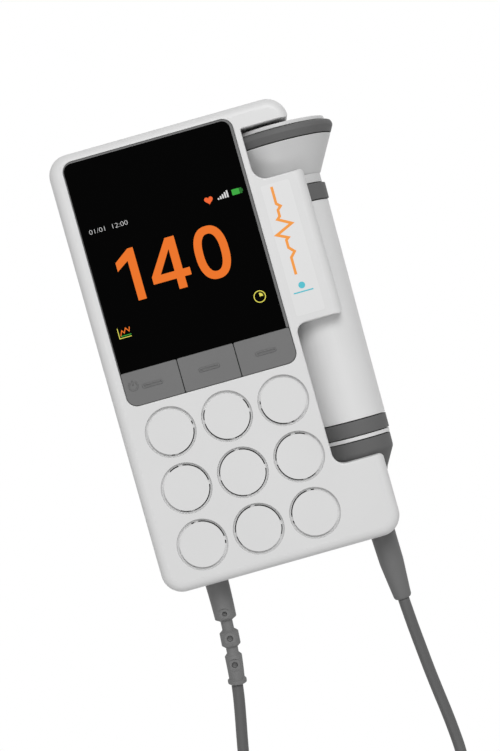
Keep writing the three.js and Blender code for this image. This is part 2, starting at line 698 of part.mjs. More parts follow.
function keypadBoard() {
  const shape = box(
    opening.x0 + keyBoard.side, opening.y0 - keyBoard.lowOut, level.keyBoardTop - keyBoard.thick,
    opening.x1 - keyBoard.side, glass.y0 + keyBoard.highOut, level.keyBoardTop,
  );
  return part("keypad_board", shape, materials.board);
}

function mainBoard() {
  const r = board.cornerR;
  const shape = outline(board.x0, board.y0, board.x1, board.y1, [r, r, r, r]);
  return part("main_board", plate(shape, level.boardBack, level.boardTop, facets.small), materials.board);
}

// A block centred on (x, y) that rests on the front of the main board.
function onBoard(name, { x, y, width, height, thick }) {
  const z0 = level.boardTop + gap;
  const shape = box(x - width / 2, y - height / 2, z0, x + width / 2, y + height / 2, z0 + thick);
  return part(name, shape, materials.chip);
}

const processorChip = () => onBoard("processor_chip", {
  x: (board.x0 + board.x1) / 2 - processor.leftOfMiddle, y: (board.y0 + board.y1) / 2 + processor.overMiddle,
  width: processor.size, height: processor.size, thick: processor.thick,
});

const amplifierChip = () => onBoard("audio_amplifier", {
  ...amplifier, x: board.x1 - amplifier.fromRight, y: board.y0 + amplifier.fromLow,
});

// The socket for the probe's cord is behind the main board.
function cordSocketPart() {
  const { fromLeft, fromLow, width, height, thick } = cordSocket;
  const [x, y] = [board.x0 + fromLeft, board.y0 + fromLow];
  const z1 = level.boardBack - gap;
  const shape = box(x - width / 2, y - height / 2, z1 - thick, x + width / 2, y + height / 2, z1);
  return part("cord_socket", shape, materials.chip);
}

function grilleCloth() {
  const r = speaker.rimR - cloth.margin;
  const back = level.clothTop - cloth.thick;
  const shape = pillar(speaker.x, speaker.y, r, back, level.clothTop, facets.speaker);
  return part("grille_cloth", shape, materials.cloth);
}

function loudspeakerBasket() {
  const floorTop = level.basketFloor + basket.floor;
  const rimIn = speaker.rimR - basket.rimWall;
  const step = basket.floor;
  const profile = [
    [basket.boreR, level.hubBack], [basket.hubR + step, level.hubBack],
    [basket.hubR + 2 * step, level.basketFloor], [speaker.rimR, level.basketFloor],
    [speaker.rimR, level.rimTop], [rimIn, level.rimTop],
    [rimIn, floorTop], [basket.hubR + step, floorTop], [basket.hubR, level.hubBack + step],
    [basket.boreR, level.hubBack + step],
  ];
  return part("loudspeaker_basket", turnedZ(profile, facets.speaker, speaker.x, speaker.y), materials.steel);
}

function loudspeakerMagnet() {
  const back = level.magnetTop - magnet.thick;
  const groove = level.magnetTop - magnet.grooveDeep;
  const inR = cone.coilInR - gap;
  const outR = cone.coilOutR + gap;
  const profile = [
    [0, back], [magnet.r, back], [magnet.r, level.magnetTop], [outR, level.magnetTop],
    [outR, groove], [inR, groove], [inR, level.magnetTop], [0, level.magnetTop],
  ];
  return part("loudspeaker_magnet", turnedZ(profile, facets.cell, speaker.x, speaker.y), materials.steel);
}

// The cone with its roll at the rim, its dust cap, and the voice coil that stands in the magnet's groove.
function loudspeakerCone() {
  const floor = level.hubBack + basket.floor + speaker.travel + cone.spare;
  const outR = speaker.rimR - basket.rimWall - gap;
  const high = floor + cone.rise;
  const roll = cone.rollWidth;
  const t = cone.thick;
  const coilEnd = level.magnetTop - magnet.grooveDeep + speaker.travel + cone.coilSpare;
  const profile = [
    [0, floor], [cone.coilInR, floor], [cone.coilInR, coilEnd], [cone.coilOutR, coilEnd],
    [cone.coilOutR, floor], [cone.hubR, floor], [cone.rollR - roll, high], [cone.rollR, high + t],
    [outR, high], [outR, high + t], [cone.rollR, high + 2 * t],
    [cone.rollR - roll, high + t], [cone.hubR, floor + t], [cone.capR, floor + cone.capSide],
    [0, floor + cone.capHigh],
  ];
  return part("loudspeaker_cone", turnedZ(profile, facets.speaker, speaker.x, speaker.y), materials.coneBlack);
}

// A cell lies along Y. The plus end's nub is at the top on the first cell and at the bottom on the second.
function batteryCell(i) {
  const half = cell.length / 2;
  const profile = [
    [0, -half], [cell.r, -half], [cell.r, half - cell.nubHigh], [cell.nubR, half - cell.nubHigh],
    [cell.nubR, half], [0, half],
  ];
  const geometry = turnedGeometry(profile, facets.cell);
  if (i === 1) geometry.rotateX(Math.PI);
  geometry.translate(well.x + (i - 1 / 2) * cell.pitch, (well.y0 + well.y1) / 2, level.cellAxis);
  return part("battery_cell_" + (i + 1), solid(geometry), materials.cell);
}

// A contact is a plate against the well's end wall, with a nub towards each cell that it serves.
function batteryContact(name, end, cellsServed) {
  const wallY = end > 0 ? well.y1 : well.y0;
  const nubHigh = well.endGap - 2 * gap - contact.thick;
  const xs = cellsServed.map((i) => well.x + (i - 1 / 2) * cell.pitch);
  const near = wallY - end * gap;
  const far = near - end * contact.thick;
  const plateBox = box(
    Math.min(...xs) - contact.width / 2, Math.min(near, far), level.cellAxis - contact.high / 2,
    Math.max(...xs) + contact.width / 2, Math.max(near, far), level.cellAxis + contact.high / 2,
  );
  const profile = [[0, 0], [contact.nubR, 0], [contact.nubR / 2, nubHigh], [0, nubHigh]];
  const nubs = xs.map((x) => {
    const geometry = turnedGeometry(profile, facets.post);
    if (end > 0) geometry.rotateX(Math.PI);
    return solid(geometry.translate(x, far + end * (contact.thick / 2), level.cellAxis));
  });
  return part(name, join([plateBox, ...nubs]), materials.steel);
}

function caseScrew(i) {
  const [x, y] = screwPlaces[i];
  const headTop = screw.headZ + screw.headHigh;
  const profile = [
    [0, screw.headZ], [screw.headR, screw.headZ], [screw.headR, headTop], [screw.shankR, headTop],
    [screw.shankR, screw.tipZ - screw.tipR], [screw.tipR, screw.tipZ], [0, screw.tipZ],
  ];
  const [long, wide] = [screw.crossLength / 2, screw.crossWidth / 2];
  const deep = screw.headZ + screw.crossDeep;
  const cross = [
    box(x - long, y - wide, screw.headZ - overrun, x + long, y + wide, deep),
    box(x - wide, y - long, screw.headZ - overrun, x + wide, y + long, deep),
  ];
  return part("case_screw_" + (i + 1), cut(turnedZ(profile, facets.post, x, y), cross), materials.steel);
}

// Bends a piece that is turned about Y and runs down from y = 0, so that its axis drifts sideways ever more.
function bendDown(geometry, length, { driftX, driftZ, bendPower: power }) {
  const drift = Math.hypot(driftX, driftZ);
  const [bx, bz] = [driftX / drift, driftZ / drift];
  const positions = geometry.attributes.position;
  for (let i = 0; i < positions.count; i++) {
    const [x, y, z] = [positions.getX(i), positions.getY(i), positions.getZ(i)];
    const share = Math.max(-y, 0) / length;
    const shift = drift * share ** power;
    const turn = Math.atan((power * drift * share ** (power - 1)) / length);
    const along = x * bx + z * bz;
    const moved = shift + along * Math.cos(turn);
    positions.setXYZ(i, x + (moved - along) * bx, y + along * Math.sin(turn), z + (moved - along) * bz);
  }
  return geometry;
}

// The unit's strain relief: a boot, a bead and a sleeve, with narrow waists between them that let it bend.
function unitStrainRelief() {
  const flangeEnd = gap + relief.flangeThick;
  const bootEnd = flangeEnd + relief.bootLength;
  const inner = -(body.wall + gap);
  const c = relief.chamfer;
  const bead = bootEnd + c + relief.waist;
  const beadEnd = bead + relief.beadLength;
  const sleeve = beadEnd + relief.lowWaist;
  const sleeveEnd = sleeve + relief.sleeveLength;
  const end = sleeveEnd + relief.endThick;
  const profile = [
    [0, -inner + relief.innerThick], [relief.innerR, -inner + relief.innerThick], [relief.innerR, -inner],
    [relief.neckR, -inner], [relief.neckR, -gap], [relief.flangeR, -gap], [relief.flangeR, -flangeEnd],
    [relief.bootR, -flangeEnd], [relief.bootEndR, -bootEnd], [relief.waistR, -bootEnd - c],
    [relief.waistR, -bead], [relief.beadR, -bead - c], [relief.beadR, -beadEnd + c], [relief.waistR, -beadEnd],
    [relief.waistR, -sleeve], [relief.sleeveR, -sleeve - c], [relief.sleeveEndR, -sleeveEnd],
    [relief.endR, -sleeveEnd - relief.endRound], [relief.endR, -end + relief.endRound],
    [relief.sleeveEndR, -end], [0, -end],
  ];
  const bent = bendDown(turnedGeometry(profile, facets.relief), end, relief);
  return part("unit_strain_relief", solid(bent.translate(relief.x, bottom, relief.z)), materials.cordGrey);
}

// The probe's pieces, in its own frame.
function probeRing(name, profile, material) {
  return part(name, turned(profile, facets.probe), material);
}

function probeFace() {
  const edgeTop = face.s + face.edge;
  const dome = domeShares.map(([across, up]) => [face.r * across, edgeTop + face.dome * up]);
  return probeRing("probe_face", [[0, face.s], [face.r, face.s], ...dome], materials.acoustic);
}

function probeFaceBand() {
  const b = faceBand;
  const rim = rimShares.map(([back, up]) =>
    [b.rWide - (b.rWide - b.r1) * back, b.sWide + (b.s1 - b.sWide) * up]);
  const profile = [[b.boreR, b.s0], [b.r0, b.s0], ...rim, [b.boreR, b.s1]];
  return probeRing("probe_face_band", profile, materials.darkBand);
}

function probeHead() {
  const h = head;
  const wall = probe.wall;
  return probeRing("probe_head", [
    [h.boreR, h.s0], [h.neckR, h.s0], [h.neckR, h.neckTop], [h.coneLowR, h.neckTop + gap],
    [h.coneTopR, h.s1], [h.coneTopR - wall, h.s1], [h.coneLowR - wall, h.neckTop + gap], [h.boreR, h.neckTop],
  ], materials.casing);
}

function probeHandle() {
  const h = handle;
  const wall = probe.wall;
  return probeRing("probe_handle", [
    [h.lowR - wall, h.s0], [h.lowR, h.s0], [h.midR, h.midS], [h.topR, h.s1],
    [h.topBore, h.s1], [h.midR - wall, h.midS],
  ], materials.casing);
}

const hoop = (name, { s0, s1, r }, boreR, material) =>
  probeRing(name, [[boreR, s0], [r, s0], [r, s1], [boreR, s1]], material);

function probeTail() {
  const t = tail;
  const wall = probe.wall;
  return probeRing("probe_tail", [
    [t.boreR, t.s0], [t.endR, t.s0], [t.midR, t.midS], [t.r, t.shoulder], [t.r, t.s1],
    [t.r - wall, t.s1], [t.r - wall, t.shoulder + wall / 2], [t.boreR, t.midS + wall],
  ], materials.darkBand);
}

function probeStrainRelief() {
  const { length, rootR, shoulderR, shoulder, endR, rim, thirdShares, s0 } = probeRelief;
  const between = (r0, t0, r1, t1, share) => [r0 + (r1 - r0) * share, -t0 - (t1 - t0) * share];
  const profile = [
    [0, 0], ...thirdShares.map((share) => between(rootR, 0, shoulderR, shoulder, share)),
    ...thirdShares.map((share) => between(shoulderR, shoulder, endR, length - rim, share)),
    [endR, rim - length], [endR - rim, -length], [0, -length],
  ];
  const bent = bendDown(turnedGeometry(profile, facets.relief), length, probeRelief);
  return part("probe_strain_relief", solid(bent.translate(0, s0, 0)), materials.cordGrey);
}

// Each crystal is half a disc bonded behind the face.
function piezo(name, side) {
  const { r, thick, split } = crystal;
  const angle = Math.asin(split / 2 / r);
  const shape = new THREE.Shape();
  shape.absarc(0, 0, r, angle, Math.PI - angle, false);
  const options = { depth: thick, bevelEnabled: false, curveSegments: facets.post };
  const geometry = new THREE.ExtrudeGeometry(shape, options);
  geometry.rotateX(side > 0 ? -Math.PI / 2 : Math.PI / 2);
  geometry.translate(0, side > 0 ? face.s - gap - thick : face.s - gap, 0);
  return part(name, solid(geometry), materials.ceramic);
}

const probeBacking = () => probeRing("probe_backing", [
  [0, backing.s0], [backing.r, backing.s0], [backing.r, backing.s1], [0, backing.s1],
], materials.foam);

function probeCircuitBoard() {
  const { half, thick, s0, s1 } = probeBoard;
  return part("probe_circuit_board", box(-half, s0, -thick / 2, half, s1, thick / 2), materials.board);
}

function probeGroup() {
  const group = new THREE.Group();
  group.position.set(probe.x, probe.y, probe.z);
  group.rotation.z = -probe.lean;
  const bandBore = tail.r - probe.wall;
  group.add(
    probeFace(), probeFaceBand(), probeHead(),
    hoop("probe_neck_band", neckBand, head.boreR, materials.darkBand),
    probeHandle(),
    hoop("probe_tail_band", tailBand, bandBore, materials.darkBand),
    hoop("probe_tail_ring", tailRing, bandBore, materials.casing),
    probeTail(), probeStrainRelief(),
    piezo("piezo_transmitter", 1), piezo("piezo_receiver", -1), probeBacking(), probeCircuitBoard(),
  );
  return group;
}

// A cord's section, with a flat below.
function cordSection() {
  const turn = (2 * Math.PI) / cord.sides;
  return new THREE.Shape([...Array(cord.sides).keys()].map((i) =>
    new THREE.Vector2(cord.r * Math.cos((i + 1 / 2) * turn), cord.r * Math.sin((i + 1 / 2) * turn))));
}

function cordStretch(name, route) {
  const curve = new THREE.CatmullRomCurve3(route.map((p) => new THREE.Vector3(...p)));
  const options = { steps: cord.steps, extrudePath: curve, bevelEnabled: false };
  return part(name, solid(new THREE.ExtrudeGeometry(cordSection(), options)), materials.cordGrey);
}

// The coil's centre line: in on the lower layer, up half a turn, and out again on the upper one.
function coilPoint(turns) {
  const { layerTurns, climbTurns, pitch } = coil;
  const innerR = coil.meanR - (pitch * layerTurns) / 2;
  const past = turns - layerTurns;
  let r = innerR - pitch * past;
  let rise = 0;
  if (past > climbTurns) {
    r = innerR + pitch * (past - climbTurns);
    rise = 1;
  } else if (past > 0) {
    const share = past / climbTurns;
    r = innerR - pitch * past * (1 - share);
    rise = share * share * (3 - 2 * share);
  }
  const angle = Math.PI * (1 + 2 * turns);
  const z = cord.r + rise * pitch;
  return new THREE.Vector3(coil.x + r * Math.cos(angle), coil.y + r * Math.sin(angle), z);
}

function coilPoints() {
  const turns = 2 * coil.layerTurns + coil.climbTurns;
  const count = turns * coil.steps;
  return [...Array(count + 1).keys()].map((i) => coilPoint(i / coil.steps));
}

// The least gap between two turns: between the centre line's points that are more than a third of a turn apart.
function leastGap(points) {
  const apart = coil.steps / 3;
  let least = Infinity;
  points.forEach((p, i) => {
    for (let j = i + apart; j < points.length; j++) least = Math.min(least, p.distanceTo(points[j]));
  });
  return least - 2 * cord.r;
}

// A tube along the points, one ring of corners at each.
function wire(points, r, sides) {
  const up = new THREE.Vector3(0, 0, 1);
  const positions = [];
  points.forEach((p, i) => {
    const before = points[Math.max(i - 1, 0)];
    const after = points[Math.min(i + 1, points.length - 1)];
    const along = after.clone().sub(before).normalize();
    const across = up.clone().cross(along).normalize();
    const above = along.clone().cross(across);
    for (let k = 0; k < sides; k++) {
      const turn = (2 * Math.PI * k) / sides;
      const corner = p.clone().addScaledVector(across, r * Math.cos(turn));
      corner.addScaledVector(above, r * Math.sin(turn));
      positions.push(corner.x, corner.y, corner.z);
    }
  });
  const index = [];
  for (let i = 0; i + 1 < points.length; i++)
    for (let k = 0; k < sides; k++) {
      const [a, b] = [i * sides + k, i * sides + ((k + 1) % sides)];
      index.push(a, a + sides, b, b, a + sides, b + sides);
    }
  const last = (points.length - 1) * sides;
  for (let k = 1; k + 1 < sides; k++) index.push(0, k, k + 1, last, last + k + 1, last + k);
  const geometry = new THREE.BufferGeometry();
  geometry.setAttribute("position", new THREE.Float32BufferAttribute(positions, 3));
  return geometry.setIndex(index);
}

function cordCoil() {
  const points = coilPoints();
  console.log("least gap between the coil's turns: " + leastGap(points).toFixed(2) + " mm");
  return part("cord_coil", solid(wire(points, cord.r, coil.sides)), materials.cordGrey);
}

const monitor = new THREE.Group();
monitor.add(
  frontCover(), rearCover(), displayWindow(), lcdModule(),
  ...keyNames.map((_, i) => keyPart(i)), ...keyNames.map((_, i) => keySwitchPart(i)), keypadBoard(),
  mainBoard(), processorChip(), amplifierChip(), cordSocketPart(),
  grilleCloth(), loudspeakerBasket(), loudspeakerMagnet(), loudspeakerCone(),
  batteryCell(0), batteryCell(1),
  batteryContact("battery_contact_bridge", 1, [0, 1]),
  batteryContact("battery_contact_minus", -1, [0]),
  batteryContact("battery_contact_plus", -1, [1]),
  batteryDoor(), ...screwPlaces.map((_, i) => caseScrew(i)),
  unitStrainRelief(), probeGroup(),
  cordStretch("cord_from_unit", unitRoute), cordCoil(), cordStretch("cord_to_probe", probeRoute),
);

export default monitor;
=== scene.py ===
import math

import bmesh
import bpy
import numpy as np
from mathutils import Matrix, Vector


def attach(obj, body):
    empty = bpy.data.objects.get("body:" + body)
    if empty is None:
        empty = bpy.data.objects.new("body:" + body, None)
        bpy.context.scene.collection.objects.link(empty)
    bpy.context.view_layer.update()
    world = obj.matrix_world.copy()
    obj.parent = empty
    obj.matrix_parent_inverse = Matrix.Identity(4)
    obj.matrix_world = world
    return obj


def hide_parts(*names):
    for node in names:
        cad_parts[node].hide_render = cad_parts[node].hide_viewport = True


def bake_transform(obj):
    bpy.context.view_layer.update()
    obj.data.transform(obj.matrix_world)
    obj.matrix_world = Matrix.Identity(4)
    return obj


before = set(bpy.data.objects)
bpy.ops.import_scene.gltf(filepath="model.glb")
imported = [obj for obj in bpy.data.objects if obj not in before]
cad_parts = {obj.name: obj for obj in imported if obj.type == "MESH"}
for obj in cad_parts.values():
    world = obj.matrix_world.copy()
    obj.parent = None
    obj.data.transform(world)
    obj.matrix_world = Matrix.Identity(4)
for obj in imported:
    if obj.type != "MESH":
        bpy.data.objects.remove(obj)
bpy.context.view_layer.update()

scene = bpy.context.scene
MM = 0.001

# The camera looks straight down on the unit's face, rolled so that the unit leans to the left.
VIEW = {"x": 5.1, "y": -11.1, "z": 735.0, "roll": 15.75, "lens": 109.0}
camera = bpy.data.objects.new("camera", bpy.data.cameras.new("camera"))
camera.data.lens = VIEW["lens"]
camera.data.clip_start = 0.01
camera.location = Vector((VIEW["x"], VIEW["y"], VIEW["z"])) * MM
camera.rotation_euler = (0, 0, -math.radians(VIEW["roll"]))
scene.collection.objects.link(camera)
scene.camera = camera

# Sizes in millimetres. First the casing: its outline, wall, edges and parting line.
LEFT, RIGHT = -38.1, 38.1
BOTTOM, TOP = -70.0, 70.0
DEPTH = 35.0
WALL = 2.0
CORNER_R = 6.6
EDGE_R = 3.0
EDGE_STEPS = 10
PARTING = 17.5
SEAM_CHAMFER = 0.25
GAP = 0.3  # between pieces that fit into each other
OVERRUN = 1.0  # by which a tool reaches out of what it cuts

# The holder along the right side, with a notch for the probe's head and a window for its handle.
HOLDER_X = 22.8
NOTCH_LOW, NOTCH_HIGH = 46.0, 62.8
WINDOW_LOW, WINDOW_HIGH = -45.1, 0.1

# The opening in the front for the screen, with the keys below it.
OPEN_LEFT, OPEN_RIGHT = -33.5, 20.8
OPEN_LOW, OPEN_HIGH = -10.9, 67.3
OPEN_R = 3.4
GLASS_LOW = 0.1

# The loudspeaker's axis, with the battery's well behind it, the door over the well, and the screws.
SPEAKER_X, SPEAKER_Y = -5.1, -39.2
WELL_LOW, WELL_HIGH = -64.6, -11.4
WELL_HALF = 15.1
DOOR_BACK, TONGUE_BACK, DOOR_TOP = 0.2, 1.3, 2.0
DOOR_LAP = 0.6  # by which the door covers the well's edges
TONGUE = 1.0  # by which the door's tongues reach into the casing
SCREW_PLACES = [(-32.7, 64.0), (9.3, 64.0), (-32.7, -64.5), (16.6, -64.5)]

# The unit's strain relief, the cord and the probe's axis.
RELIEF_X, RELIEF_Z = -22.7, 17.5
CORD_R = 1.85
PROBE_X, PROBE_Z, PROBE_LEAN = 32.65, 18.2, 0.015
PROBE = Matrix.Translation((PROBE_X, 0, PROBE_Z)) @ Matrix.Rotation(-PROBE_LEAN, 4, "Z")

COARSE, FINE = 48, 96  # facets round a turned form
TOO_NEAR = 1e-4  # two points of an outline that are this near are one
ON_AXIS = 1e-6


# Meshes, in millimetres until they become objects.
def mesh_object(name, points, faces, matrix=None, merge=0.0):
    """An object from points in millimetres. Those that are nearer than merge, in metres, become one."""
    if matrix is not None:
        points = [matrix @ Vector(p) for p in points]
    data = bpy.data.meshes.new(name)
    data.from_pydata([Vector(p) * MM for p in points], [], faces)
    work = bmesh.new()
    work.from_mesh(data)
    if merge:
        bmesh.ops.remove_doubles(work, verts=work.verts, dist=merge)
    bmesh.ops.recalc_face_normals(work, faces=work.faces)
    work.to_mesh(data)
    work.free()
    made = bpy.data.objects.new(name, data)
    scene.collection.objects.link(made)
    return made


def fillet(corners, step=7.5):
    """The points of a closed outline of (x, y, radius) corners, rounded in steps of so many degrees."""
    points = []
    for i, (x, y, r) in enumerate(corners):
        here = Vector((x, y))
        if r <= 0:
            points.append(here)
            continue
        back = (Vector(corners[i - 1][:2]) - here).normalized()
        on = (Vector(corners[(i + 1) % len(corners)][:2]) - here).normalized()
        angle = back.angle(on)
        middle = here + (back + on).normalized() * (r / math.sin(angle / 2))
        start = here + back * (r / math.tan(angle / 2)) - middle
        sweep = math.pi - angle
        turn = 1 if back.x * on.y - back.y * on.x < 0 else -1
        count = max(2, math.ceil(math.degrees(sweep) / step))
        for k in range(count + 1):
            a = turn * sweep * k / count
            c, s = math.cos(a), math.sin(a)
            points.append(middle + Vector((start.x * c - start.y * s, start.x * s + start.y * c)))
    return [p for i, p in enumerate(points) if (p - points[i - 1]).length > TOO_NEAR]


def rectangle(x0, y0, x1, y1, r):
    """A rounded rectangle; r is one radius, or four from the low left corner counterclockwise."""
    r = [r] * 4 if isinstance(r, (int, float)) else r
    return fillet([(x0, y0, r[0]), (x1, y0, r[1]), (x1, y1, r[2]), (x0, y1, r[3])])


def inset(points, distance):
    """A counterclockwise outline moved inwards."""
    moved = []
    for i, p in enumerate(points):
        a = (p - points[i - 1]).normalized()
        b = (points[(i + 1) % len(points)] - p).normalized()
        na, nb = Vector((-a.y, a.x)), Vector((-b.y, b.x))
        moved.append(p + (na + nb) * (distance / (1 + na.dot(nb))))
    return moved


def prism(name, outline, levels, matrix=None):
    """An outline drawn out along Z through (height, inset) levels."""
    rings = [[(p.x, p.y, z) for p in inset(outline, d)] for z, d in levels]
    count = len(outline)
    faces = [tuple(range(count)), tuple(range((len(rings) - 1) * count, len(rings) * count))]
    for j in range(len(rings) - 1):
        for i in range(count):
            a, b = j * count + i, j * count + (i + 1) % count
            faces.append((a, b, b + count, a + count))
    return mesh_object(name, [p for ring in rings for p in ring], faces, matrix)


def rounding(z, r, steps, up=True, flare=False):
    """Levels of an edge that is rounded up to height z, or widened in the same way for a tool that rounds."""
    side = -1 if flare else 1
    levels = []
    for k in range(steps + 1):
        a = math.pi / 2 * k / steps
        away = r * (1 - math.sin(a))
        levels.append((z - away if up else z + away, side * r * (1 - math.cos(a))))
    return levels if up else levels[::-1]


def through_front(r, steps):
    """Levels of a tool that rounds the front's edge by r and runs out of the front."""
    return [*rounding(DEPTH, r, steps, flare=True), (DEPTH + OVERRUN, -r)]


def lathe(name, profile, count, matrix=None):
    """A closed profile of (radius, height) points turned about Y."""
    turns = [2 * math.pi * k / count for k in range(count)]
    points, rings = [], []
    for r, s in profile:
        if r < ON_AXIS:
            rings.append([len(points)] * count)
            points.append((0, s, 0))
        else:
            rings.append(list(range(len(points), len(points) + count)))
            points += [(r * math.cos(a), s, r * math.sin(a)) for a in turns]
    faces = []
    for j in range(len(rings)):
        low, high = rings[j - 1], rings[j]
        for k in range(count):
            corners = [low[k], low[(k + 1) % count], high[(k + 1) % count], high[k]]
            face = [c for i, c in enumerate(corners) if c != corners[i - 1]]
            if len(face) > 2:
                faces.append(tuple(face))
    return mesh_object(name, points, faces, matrix)


def to_axis(corners):
    """A profile of (radius, height, rounding) corners with its two ends brought to the axis."""
    return [(0, corners[0][1], 0), *corners, (0, corners[-1][1], 0)]


def turned(name, corners, count, matrix=None, step=15):
    """A closed profile of (radius, height, rounding) corners turned about Y."""
    return lathe(name, [tuple(p) for p in fillet(corners, step)], count, matrix)


UPRIGHT = Matrix.Rotation(math.pi / 2, 4, "X")


def pillar(name, x, y, profile, count=COARSE):
    """A profile of (radius, z, rounding) turned about Z through (x, y)."""
    return turned(name, profile, count, Matrix.Translation((x, y, 0)) @ UPRIGHT)


def box(name, x0, y0, z0, x1, y1, z1):
    return prism(name, rectangle(x0, y0, x1, y1, 0), [(z0, 0), (z1, 0)])


def joined(name, objects):
    """Bodies that don't meet, as one tool."""
    points, faces = [], []
    for o in objects:
        start = len(points)
        points += [v.co / MM for v in o.data.vertices]
        faces += [tuple(start + i for i in p.vertices) for p in o.data.polygons]
        bpy.data.objects.remove(o)
    return mesh_object(name, points, faces)


def carve(target, tools, operation="DIFFERENCE"):
    """Cuts the tools out of the target, or joins or intersects it with them, and removes them."""
    for tool in tools:
        modifier = target.modifiers.new("carve", "BOOLEAN")
        modifier.operation, modifier.object, modifier.solver = operation, tool, "MANIFOLD"
    graph = bpy.context.evaluated_depsgraph_get()
    data = bpy.data.meshes.new_from_object(target.evaluated_get(graph))
    target.modifiers.clear()
    target.data = data
    for tool in tools:
        bpy.data.objects.remove(tool)
    return target


# Faces that turn by fewer degrees than this are one surface, in which their normals mix. Those whose normals
# and distances from the origin agree to these parts are one plane, and count by the square of its area.
SURFACE_ANGLE = 32
NORMAL_PARTS, METRE_PARTS = 400, 2e4
SQUARE_MM = 1e6  # in a square metre
LEAST_WEIGHT = 1e-9
DEGENERATE = 1e-7


def shade(made):
    """Smooth normals for a piece, in which each flat face keeps its own, however its neighbours turn."""
    data = made.data
    work = bmesh.new()
    work.from_mesh(data)
    bmesh.ops.dissolve_degenerate(work, dist=DEGENERATE, edges=work.edges)
    work.to_mesh(data)
    work.free()

    def values(items, name, shape=(), kind=float):
        found = np.empty((len(items), *shape), kind)
        items.foreach_get(name, found.reshape(-1))
        return found

    normals, centres = values(data.polygons, "normal", (3,)), values(data.polygons, "center", (3,))
    areas, offset = values(data.polygons, "area"), (normals * centres).sum(1)
    keys = np.round(np.column_stack([normals * NORMAL_PARTS, offset * METRE_PARTS])).astype(int)
    group = np.unique(keys, axis=0, return_inverse=True)[1].ravel()
    weight = (np.bincount(group, areas)[group] * SQUARE_MM) ** 2 + LEAST_WEIGHT
    vertex = values(data.loops, "vertex_index", kind=int)
    totals = values(data.polygons, "loop_total", kind=int)
    face = np.repeat(np.arange(len(totals)), totals)
    order = np.argsort(vertex, kind="stable")
    starts = np.flatnonzero(np.r_[True, np.diff(vertex[order]) > 0])
    result = np.zeros((len(vertex), 3))
    least = math.cos(math.radians(SURFACE_ANGLE))
    for loops in np.split(order, starts[1:]):
        near = normals[face[loops]]
        share = (near @ near.T > least) * weight[face[loops]]
        result[loops] = share @ near
    result /= np.linalg.norm(result, axis=1, keepdims=True)
    data.polygons.foreach_set("use_smooth", np.ones(len(totals), bool))
    data.normals_split_custom_set(result.tolist())


def settle(made, body, material, nodes=()):
    """Shades a piece, gives it its material and body, and hides the nodes that it stands for, if any."""
    shade(made)
    made.data.materials.clear()
    made.data.materials.append(finish[material])
    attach(made, body)
    if nodes:
        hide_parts(*nodes)


# Materials.
GLOSS_DRIFT = 0.12
GRAIN_HEIGHT = 0.00006


def plastic(
    name, tint, roughness, *, vary=0.05, patch=45, grain=0.3, grain_scale=1900, specular=0.5, metallic=0.0
):
    """A moulded surface: its tone and gloss drift a little, and a fine grain stands on it."""
    made = bpy.data.materials.new(name)
    made.use_nodes = True
    nodes, links = made.node_tree.nodes, made.node_tree.links
    shader = nodes["Principled BSDF"]
    shader.inputs["Metallic"].default_value = metallic
    shader.inputs["Specular IOR Level"].default_value = specular
    place = nodes.new("ShaderNodeTexCoord")

    def noise(scale, detail):
        texture = nodes.new("ShaderNodeTexNoise")
        texture.inputs["Scale"].default_value = scale
        texture.inputs["Detail"].default_value = detail
        links.new(place.outputs["Object"], texture.inputs["Vector"])
        return texture.outputs["Fac"]

    drift = noise(patch, 4)
    tone = nodes.new("ShaderNodeValToRGB")
    darker, lighter = tone.color_ramp.elements
    darker.position, lighter.position = 0.3, 0.7
    darker.color = (*(c * (1 - vary) for c in tint), 1)
    lighter.color = (*(min(1, c * (1 + vary)) for c in tint), 1)
    links.new(drift, tone.inputs["Fac"])
    links.new(tone.outputs["Color"], shader.inputs["Base Color"])
    gloss = nodes.new("ShaderNodeMapRange")
    gloss.inputs["To Min"].default_value = roughness * (1 - GLOSS_DRIFT)
    gloss.inputs["To Max"].default_value = min(1, roughness * (1 + GLOSS_DRIFT))
    links.new(drift, gloss.inputs["Value"])
    links.new(gloss.outputs["Result"], shader.inputs["Roughness"])
    fine = noise(grain_scale, 3)
    bump = nodes.new("ShaderNodeBump")
    bump.inputs["Strength"].default_value = grain
    bump.inputs["Distance"].default_value = GRAIN_HEIGHT
    links.new(fine, bump.inputs["Height"])
    links.new(bump.outputs["Normal"], shader.inputs["Normal"])
    return made


def linear(value):
    """The linear level of a display value from 0 to 255, by the sRGB curve."""
    v = value / 255
    return v / 12.92 if v <= 0.04045 else ((v + 0.055) / 1.055) ** 2.4


def colour(r, g, b):
    return (linear(r), linear(g), linear(b))


def grey(value):
    return colour(value, value, value)


UNLIT = 0.2  # the share of a lit shape's colour that it has by itself


def glow(name, tint):
    """A lit shape on the display: it gives its own colour and reflects almost nothing."""
    made = plastic(name, tuple(c * UNLIT for c in tint), 0.35, vary=0.02, grain=0.05, specular=0.1)
    shader = made.node_tree.nodes["Principled BSDF"]
    shader.inputs["Emission Color"].default_value = (*tint, 1)
    shader.inputs["Emission Strength"].default_value = 1
    return made


